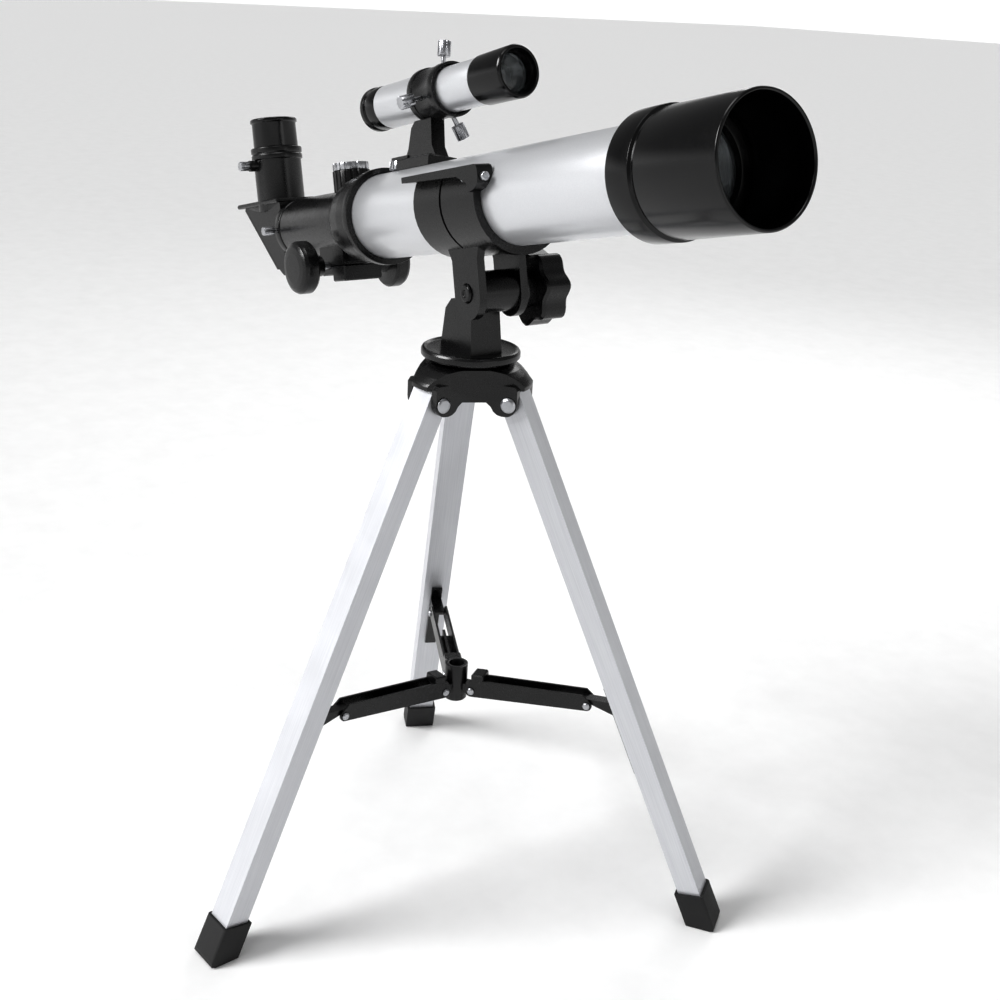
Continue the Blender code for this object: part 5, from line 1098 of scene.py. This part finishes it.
def diagonal(tube):
    """The right-angle holder: light comes in along X and leaves along +Z."""
    face = HOUSING_REAR - DRAW_COLLAR - 2 * GAP
    back = HOLDER_STATION - DIAGONAL_BACK  # x + z on the sloped back
    cover = COVER_THICKNESS * math.sqrt(2)
    floor = -33.0 * MM
    inside = back + cover + GAP
    outline = [
        (face, DIAGONAL_ROOF), (inside - DIAGONAL_ROOF, DIAGONAL_ROOF),
        (inside - floor - 6 * MM, floor + 6 * MM), (face - 5.0 * MM, floor), (face, floor),
    ]
    half = DIAGONAL_HALF - 2.4 * MM
    body = plate(outline, -half, half)
    roof = block(
        (back - DIAGONAL_ROOF - 7.0 * MM, -DIAGONAL_HALF, DIAGONAL_ROOF - 0.2 * MM),
        (face - 0.2 * MM, DIAGONAL_HALF, DIAGONAL_ROOF + 3.0 * MM), 0.9 * MM, 1,
    )
    socket = BARREL_RADIUS + GAP
    holder = turned(
        [
            (0, DIAGONAL_ROOF - 5 * MM), (socket + HOLDER_WALL, DIAGONAL_ROOF - 5 * MM),
            (socket + HOLDER_WALL, HOLDER_TOP),
            (socket + HOLDER_WALL + 1.3 * MM, HOLDER_TOP + 0.5 * MM),
            (socket + HOLDER_WALL + 1.3 * MM, HOLDER_TOP + 3.4 * MM),
            (socket + HOLDER_WALL + 0.4 * MM, HOLDER_TOP + 4.4 * MM),
            (socket + HOLDER_WALL + 1.3 * MM, HOLDER_TOP + 5.4 * MM),
            (socket + HOLDER_WALL + 1.3 * MM, HOLDER_TOP + HOLDER_COLLAR - 0.5 * MM),
            (socket + HOLDER_WALL + 0.8 * MM, HOLDER_TOP + HOLDER_COLLAR),
            (0, HOLDER_TOP + HOLDER_COLLAR),
        ],
        steps=28, shift=(HOLDER_STATION, 0, 0),
    )
    nose = rod(BARREL_RADIUS, face - 4 * MM, face + 26.0 * MM, "X", 28)
    room = 12.0 * MM
    light = rod(room - GAP, HOLDER_STATION + room - 2 * MM, face + 40 * MM, "X", 26)
    well = turned(
        [
            (0, room - 2.0 * MM), (room - GAP, room - 2.0 * MM), (room - GAP, 28.0 * MM),
            (socket, 28.0 * MM), (socket, 2 * HOLDER_TOP), (0, 2 * HOLDER_TOP),
        ],
        steps=28, shift=(HOLDER_STATION, 0, 0),
    )
    mirror_half = 18.5 * MM
    depth = DIAGONAL_BACK / math.sqrt(2)
    low = (-depth - 5 * MM, -mirror_half + 5 * MM, -mirror_half)
    pocket = block(low, (0, mirror_half - 5 * MM, mirror_half))
    face_turn = Matrix.Rotation(math.radians(-45), 3, "Y")
    pocket = moved(pocket, face_turn, (HOLDER_STATION, 0, 0))
    corners = [(-room - 1 * MM, room), (room, -room - 1 * MM), (room, room)]
    chamber = plate([(HOLDER_STATION + x, z) for x, z in corners], -room - GAP, room + GAP)
    spot = (HOLDER_STATION, 0, 50.0 * MM)
    screw_hole = rod(1.7 * MM, -2 * socket, 0, "Y", 12, spot)
    screw_boss = rod(4.0 * MM, -socket - 7.5 * MM, -socket - 0.6 * MM, "Y", 16, spot)
    piece(
        "diagonal_body", tube, "black_plastic", body, [roof, holder, nose, screw_boss],
        [screw_hole, light, well], [pocket, chamber],
    )
    glass = block(
        (-MIRROR_THICKNESS - GAP, -mirror_half + 5 * MM + GAP, -mirror_half + GAP),
        (-GAP, mirror_half - 5 * MM - GAP, mirror_half - GAP),
    )
    piece("diagonal_mirror", tube, "mirror", moved(glass, face_turn, (HOLDER_STATION, 0, 0)))
    lid_run = (DIAGONAL_ROOF - floor) * math.sqrt(2) / 2
    lid = block(
        (-depth, -half, -lid_run + 9.0 * MM),
        (-depth + COVER_THICKNESS, half, lid_run - 0.5 * MM),
    )
    lid = moved(lid, face_turn, (HOLDER_STATION, 0, 0))
    piece("diagonal_cover", tube, "black_plastic", lid)
    setscrew(
        "eyepiece_setscrew", tube, spot, BARREL_RADIUS + GAP, socket + 8.4 * MM, 7.0 * MM,
        3.4 * MM,
    )


def eyepiece(tube):
    """The eyepiece: a barrel in the holder, a body above it and a flared top."""
    seat = HOLDER_TOP + HOLDER_COLLAR + GAP
    top = seat + EYEPIECE_RISE
    skin = BARREL_RADIUS + 0.3 * MM
    spot = (HOLDER_STATION, 0, 0)
    body = [
        (14.2 * MM, seat - 26.0 * MM), (BARREL_RADIUS, seat - 26.0 * MM), (BARREL_RADIUS, seat),
        (skin + 0.5 * MM, seat), (skin + 0.3 * MM, top - EYEPIECE_FLANGE),
        (skin + 1.4 * MM, top - EYEPIECE_FLANGE + 0.8 * MM), (skin + 1.4 * MM, top - 0.8 * MM),
        (skin + 0.7 * MM, top), (9.5 * MM, top), (7.2 * MM, top - 3.0 * MM),
        (7.2 * MM, top - 4.0 * MM), (10.6 * MM, top - 4.0 * MM), (10.6 * MM, seat - 10.0 * MM),
        (14.2 * MM, seat - 10.0 * MM),
    ]
    piece("eyepiece_body", tube, "black_enamel", turned(body, "Z", 28, spot))
    lens_top = top - 4.0 * MM - GAP
    edge = 10.6 * MM - GAP
    eye = [(0, lens_top), (edge, lens_top), (edge, lens_top - 2.0 * MM), (0, lens_top - 4.2 * MM)]
    piece("eyepiece_lens", tube, "lens_glass", turned(eye, "Z", 24, spot))


# --- Finder ---------------------------------------------------------------------------


def finder(tube):
    """The finder on its bracket; the roll frame has +Z out from the tube through the finder."""
    roll = empty("finder_roll", tube, (0, 0, 0), (-FINDER_ROLL, 0, 0))
    height = TUBE_RADIUS + FINDER_RISE
    ring = empty("finder_ring_axis", roll, (FINDER_STATION, 0, height))
    aim = empty("finder_aim", ring, (0, 0, 0), (0, -FINDER_PITCH, FINDER_YAW))
    finder_bracket(roll, height)
    finder_optics(aim)
    for number, angle in enumerate(THUMBSCREW_ANGLES, 1):
        turn = (math.radians(angle - 90), 0, 0)
        spoke = empty(f"thumbscrew_axis_{number}", ring, (0, 0, 0), turn)
        tip = FINDER_RADIUS + 2.2 * GAP
        head = RING_INNER + RING_WALL + 5.5 * MM
        shank = turned(
            [(0, tip), (1.5 * MM, tip), (1.5 * MM, head + 1 * MM), (0, head + 1 * MM)], "Z", 12
        )
        knob = knurled(4.2 * MM, head, head + 9.5 * MM, 10, 0.6 * MM)
        piece(f"finder_thumbscrew_{number}", spoke, "screw_chrome", shank, [knob])


def finder_bracket(roll, height):
    outer = RING_INNER + RING_WALL
    half = RING_WIDTH / 2
    profile = [
        (RING_INNER, -half), (outer, -half), (outer, -half + 5.0 * MM),
        (outer - 0.7 * MM, -half + 5.0 * MM), (outer - 0.7 * MM, half - 7.0 * MM),
        (outer, half - 7.0 * MM), (outer, half), (RING_INNER, half),
    ]
    spot = (FINDER_STATION, 0, height)
    ring = turned(profile, "X", 28, spot)
    skin = TUBE_RADIUS + GAP
    base = skin + 4.0 * MM
    top = height - RING_INNER - 0.6 * MM
    side = [
        (-83.0 * MM, base), (-44.0 * MM, base), (-50.0 * MM, base + 8.0 * MM), (-53.0 * MM, top),
        (-73.0 * MM, top), (-77.0 * MM, top - 4.0 * MM), (-79.0 * MM, base + 8.0 * MM),
    ]
    stalk = plate(side, -5.0 * MM, 5.0 * MM)
    foot = block(
        (-84.0 * MM, -11.0 * MM, skin - 3.4 * MM), (-42.0 * MM, 11.0 * MM, base + 0.8 * MM),
        1.0 * MM, 1,
    )
    lip_low = skin + 6.2 * MM
    lip = block(
        (FOOT_NUT_STATION - 3.6 * MM, -6.0 * MM, lip_low),
        (-78.0 * MM, 6.0 * MM, lip_low + 2.0 * MM),
    )
    cap = rod(skin, -0.2, 0.2, "X", 44)
    stud_hole = rod(2.0 * MM + GAP, 0, 2 * TUBE_RADIUS, steps=12, shift=(FOOT_NUT_STATION, 0, 0))
    bore = rod(RING_INNER - 0.02 * MM, -half - 5 * MM, half + 5 * MM, "X", 28, spot)
    holes = []
    for angle in THUMBSCREW_ANGLES:
        hole = rod(1.5 * MM + GAP, 0, 3 * outer, steps=12)
        turn = Matrix.Rotation(math.radians(angle - 90), 3, "X")
        holes.append(moved(hole, turn, spot))
    piece(
        "finder_bracket", roll, "black_plastic", ring, [stalk, foot, lip],
        [cap, bore, stud_hole, *holes],
    )
    nut_low = skin + GAP
    nut = knurled(FOOT_NUT_RADIUS, nut_low, lip_low - GAP, 18, 0.6 * MM)
    nut = moved(nut, shift=(FOOT_NUT_STATION, 0, 0))
    spot = (FOOT_NUT_STATION, 0, 0)
    stud = rod(2.0 * MM, TUBE_RADIUS - TUBE_WALL, lip_low + 3.4 * MM, steps=12, shift=spot)
    piece("finder_foot_nut", roll, "screw_chrome", nut, [stud])


def finder_optics(aim):
    inner = FINDER_RADIUS - FINDER_WALL
    piece(
        "finder_tube", aim, "silver_enamel",
        pipe(FINDER_RADIUS, inner, FINDER_REAR, FINDER_FRONT, "X", 28),
    )
    sleeve = FINDER_RADIUS + GAP
    lens = 11.8 * MM
    front = [
        (sleeve, FINDER_CAP_REAR), (FINDER_CAP_RADIUS - 0.9 * MM, FINDER_CAP_REAR),
        (FINDER_CAP_RADIUS - 0.5 * MM, FINDER_CAP_REAR + 1.5 * MM),
        (FINDER_CAP_RADIUS, FINDER_CAP_FRONT - 1.5 * MM),
        (FINDER_CAP_RADIUS - 0.8 * MM, FINDER_CAP_FRONT),
        (FINDER_CAP_RADIUS - 2.2 * MM, FINDER_CAP_FRONT),
        (FINDER_CAP_RADIUS - 2.8 * MM, FINDER_CAP_FRONT - 3.0 * MM),
        (lens + GAP, FINDER_CAP_FRONT - 4.0 * MM), (lens + GAP, FINDER_FRONT + 12.0 * MM),
        (lens - 1.6 * MM, FINDER_FRONT + 12.0 * MM), (lens - 1.6 * MM, FINDER_FRONT + GAP),
        (sleeve, FINDER_FRONT + GAP),
    ]
    piece("finder_hood", aim, "black_enamel", turned(front, "X", 28))
    seat = FINDER_FRONT + 12.0 * MM + GAP
    glass = [(0, seat), (lens, seat), (lens, seat + 2.2 * MM), (0, seat + 3.4 * MM)]
    piece("finder_objective_lens", aim, "lens_glass", turned(glass, "X", 20))
    rear = [
        (inner - GAP - 2.4 * MM, FINDER_EYE_FRONT + 4.0 * MM),
        (inner - GAP, FINDER_EYE_FRONT + 4.0 * MM), (inner - GAP, FINDER_REAR - GAP),
        (FINDER_RADIUS, FINDER_REAR - GAP), (FINDER_RADIUS, FINDER_EYE_REAR + 6.0 * MM),
        (FINDER_RADIUS - 0.7 * MM, FINDER_EYE_REAR + 5.4 * MM),
        (FINDER_RADIUS - 0.7 * MM, FINDER_EYE_REAR + 4.2 * MM),
        (FINDER_RADIUS + 0.4 * MM, FINDER_EYE_REAR + 3.6 * MM),
        (FINDER_RADIUS + 0.4 * MM, FINDER_EYE_REAR), (7.0 * MM, FINDER_EYE_REAR),
        (5.4 * MM, FINDER_EYE_REAR + 3.0 * MM), (8.2 * MM, FINDER_EYE_REAR + 3.0 * MM),
        (8.2 * MM, FINDER_EYE_FRONT + 4.0 * MM),
    ]
    piece("finder_eyepiece_ring", aim, "black_enamel", turned(rear, "X", 24))
    low = FINDER_EYE_REAR + 3.0 * MM + GAP
    eye = [(0, low), (8.2 * MM - GAP, low), (8.2 * MM - GAP, low + 1.6 * MM), (0, low + 3.6 * MM)]
    piece("finder_eye_lens", aim, "lens_glass", turned(eye, "X", 20))


# --- Assembly -------------------------------------------------------------------------


def settle(name, made, graph):
    """Takes the finished mesh into place and puts it on its body in the frame."""
    mesh = bpy.data.meshes.new_from_object(made.evaluated_get(graph))
    if name in ("leg_1", "leg_2", "leg_3"):
        along = mesh.attributes.new("along_leg", "FLOAT_VECTOR", "POINT")
        along.data.foreach_set("vector", [c for v in mesh.vertices for c in v.co])
    mesh.transform(made.matrix_world)
    mesh.shade_smooth()
    mesh.set_sharp_from_angle(angle=math.radians(32))
    done = bpy.data.objects.new(f"finished_{name}", mesh)
    bpy.context.scene.collection.objects.link(done)
    body = frame["nodes"][name]["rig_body"]
    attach(done, body)
    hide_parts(name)


def assemble():
    centre = next(j for j in frame["joints"] if j["name"] == "azimuth_turn")["pos_m"]
    base = empty("base", None, (centre[0], centre[1], 0))
    head = empty("leg_pivot_level", base, (0, 0, LEG_REACH * math.cos(LEG_SPLAY)))
    ear_outer = tripod_head(head)
    for number, azimuth in enumerate(LEG_AZIMUTHS, 1):
        leg_and_fittings(number, azimuth, head, ear_outer)
    spreader(head)
    swivel = empty("azimuth_axis", head, (0, 0, HEAD_TOP + GAP))
    yoke(swivel)
    tilt = empty("altitude_axis", swivel, (ALTITUDE_FORWARD, 0, ALTITUDE_RISE), (0, -TILT, 0))
    tube = empty("tube_axis", tilt, (-PIVOT_STATION, 0, TUBE_RADIUS + PIVOT_DROP))
    cradle(tilt, tube)
    optical_tube(tube)
    focuser(tube)
    diagonal(tube)
    eyepiece(tube)
    finder(tube)
    bpy.context.view_layer.update()
    graph = bpy.context.evaluated_depsgraph_get()
    for name, made in PIECES:
        settle(name, made, graph)
    spent = [made for name, made in PIECES] + TOOLS
    spent += [o for o in bpy.data.objects if o.type == "EMPTY" and not o.name.startswith("body:")]
    for old in spent:
        bpy.data.objects.remove(old, do_unlink=True)
    return Vector(centre)


# --- Studio ---------------------------------------------------------------------------


# Camera, from the object's middle on the floor: spot, picture's right, line of sight.
CAMERA_SPOT = (0.6866, -0.4646, 0.5885)
CAMERA_ACROSS = (0.5662, 0.8227, 0.0514)
CAMERA_AHEAD = (-0.7603, 0.5453, -0.3531)
CAMERA_LENS = 48.506  # millimetres, on a 36 mm wide sensor
CAMERA_SHIFT = 0.0015
LOOK_HEIGHT = 0.3  # metres above the floor, where the lamps point
FLOOR_SINK = 0.0005  # floor's surface under the soles

# Lamps: name, kind, spot from the middle of the floor, size (radians for the sun), power.
LAMPS = (
    ("key", "SUN", (-0.35, -1.0, 1.0), 0.5, 3.0), ("fill", "AREA", (1.6, 0.3, 0.8), 1.0, 2.5),
    ("rim", "AREA", (-0.9, 1.3, 1.3), 0.8, 5), ("top", "AREA", (0, -0.2, 1.9), 0.7, 5),
)


def studio(centre):
    world = bpy.data.worlds.new("soft_room")
    bpy.context.scene.world = world
    world.use_nodes = True
    tree = world.node_tree
    sky = tree.nodes["Background"]
    sky.inputs["Color"].default_value = (1, 1, 1, 1)
    aim = node(tree, "ShaderNodeTexCoord").outputs["Generated"]
    height = node(tree, "ShaderNodeSeparateXYZ", {}, {"Vector": aim}).outputs["Z"]
    # White near the horizon, dimmer overhead, so that black finishes stay black.
    tree.links.new(ramp(tree, height, 0.93, 0.22, 0.05, 0.22), sky.inputs["Strength"])
    floor = bmesh.new()
    bmesh.ops.create_grid(floor, x_segments=1, y_segments=1, size=30.0)
    mesh = bpy.data.meshes.new("floor")
    floor.to_mesh(mesh)
    floor.free()
    plane = bpy.data.objects.new("floor", mesh)
    plane.location.z = -FLOOR_SINK
    bpy.context.scene.collection.objects.link(plane)
    pale = ("#F4F4F4", "#FAFAFA")
    mesh.materials.append(finish("pale_floor", {}, pale, (0.6, 0.7), 0.05, 0.0001))
    look = Vector((centre.x, centre.y, LOOK_HEIGHT))
    for name, kind, spot, size, power in LAMPS:
        light = bpy.data.lights.new(name, kind)
        if kind == "SUN":
            light.angle = size
        else:
            light.size = size
        light.energy = power
        lamp = bpy.data.objects.new(name, light)
        lamp.location = look + Vector(spot) - Vector((0, 0, LOOK_HEIGHT))
        lamp.rotation_euler = (lamp.location - look).to_track_quat("Z", "Y").to_euler()
        bpy.context.scene.collection.objects.link(lamp)


def camera(centre):
    lens = bpy.data.cameras.new("camera")
    lens.sensor_width = 36
    lens.lens = CAMERA_LENS
    lens.shift_x = CAMERA_SHIFT
    lens.clip_start = 0.01
    eye = bpy.data.objects.new("camera", lens)
    across = Vector(CAMERA_ACROSS).normalized()
    ahead = Vector(CAMERA_AHEAD).normalized()
    above = across.cross(ahead).normalized()
    turn = Matrix((across, above, -ahead)).transposed()
    eye.matrix_world = Matrix.LocRotScale(
        Vector(CAMERA_SPOT) + Vector((centre.x, centre.y, 0)), turn, None
    )
    bpy.context.scene.collection.objects.link(eye)
    bpy.context.scene.camera = eye


middle = assemble()
studio(middle)
camera(middle)
view = bpy.context.scene.view_settings
view.view_transform = "Standard"
view.exposure = 0.22
view.gamma = 0.8
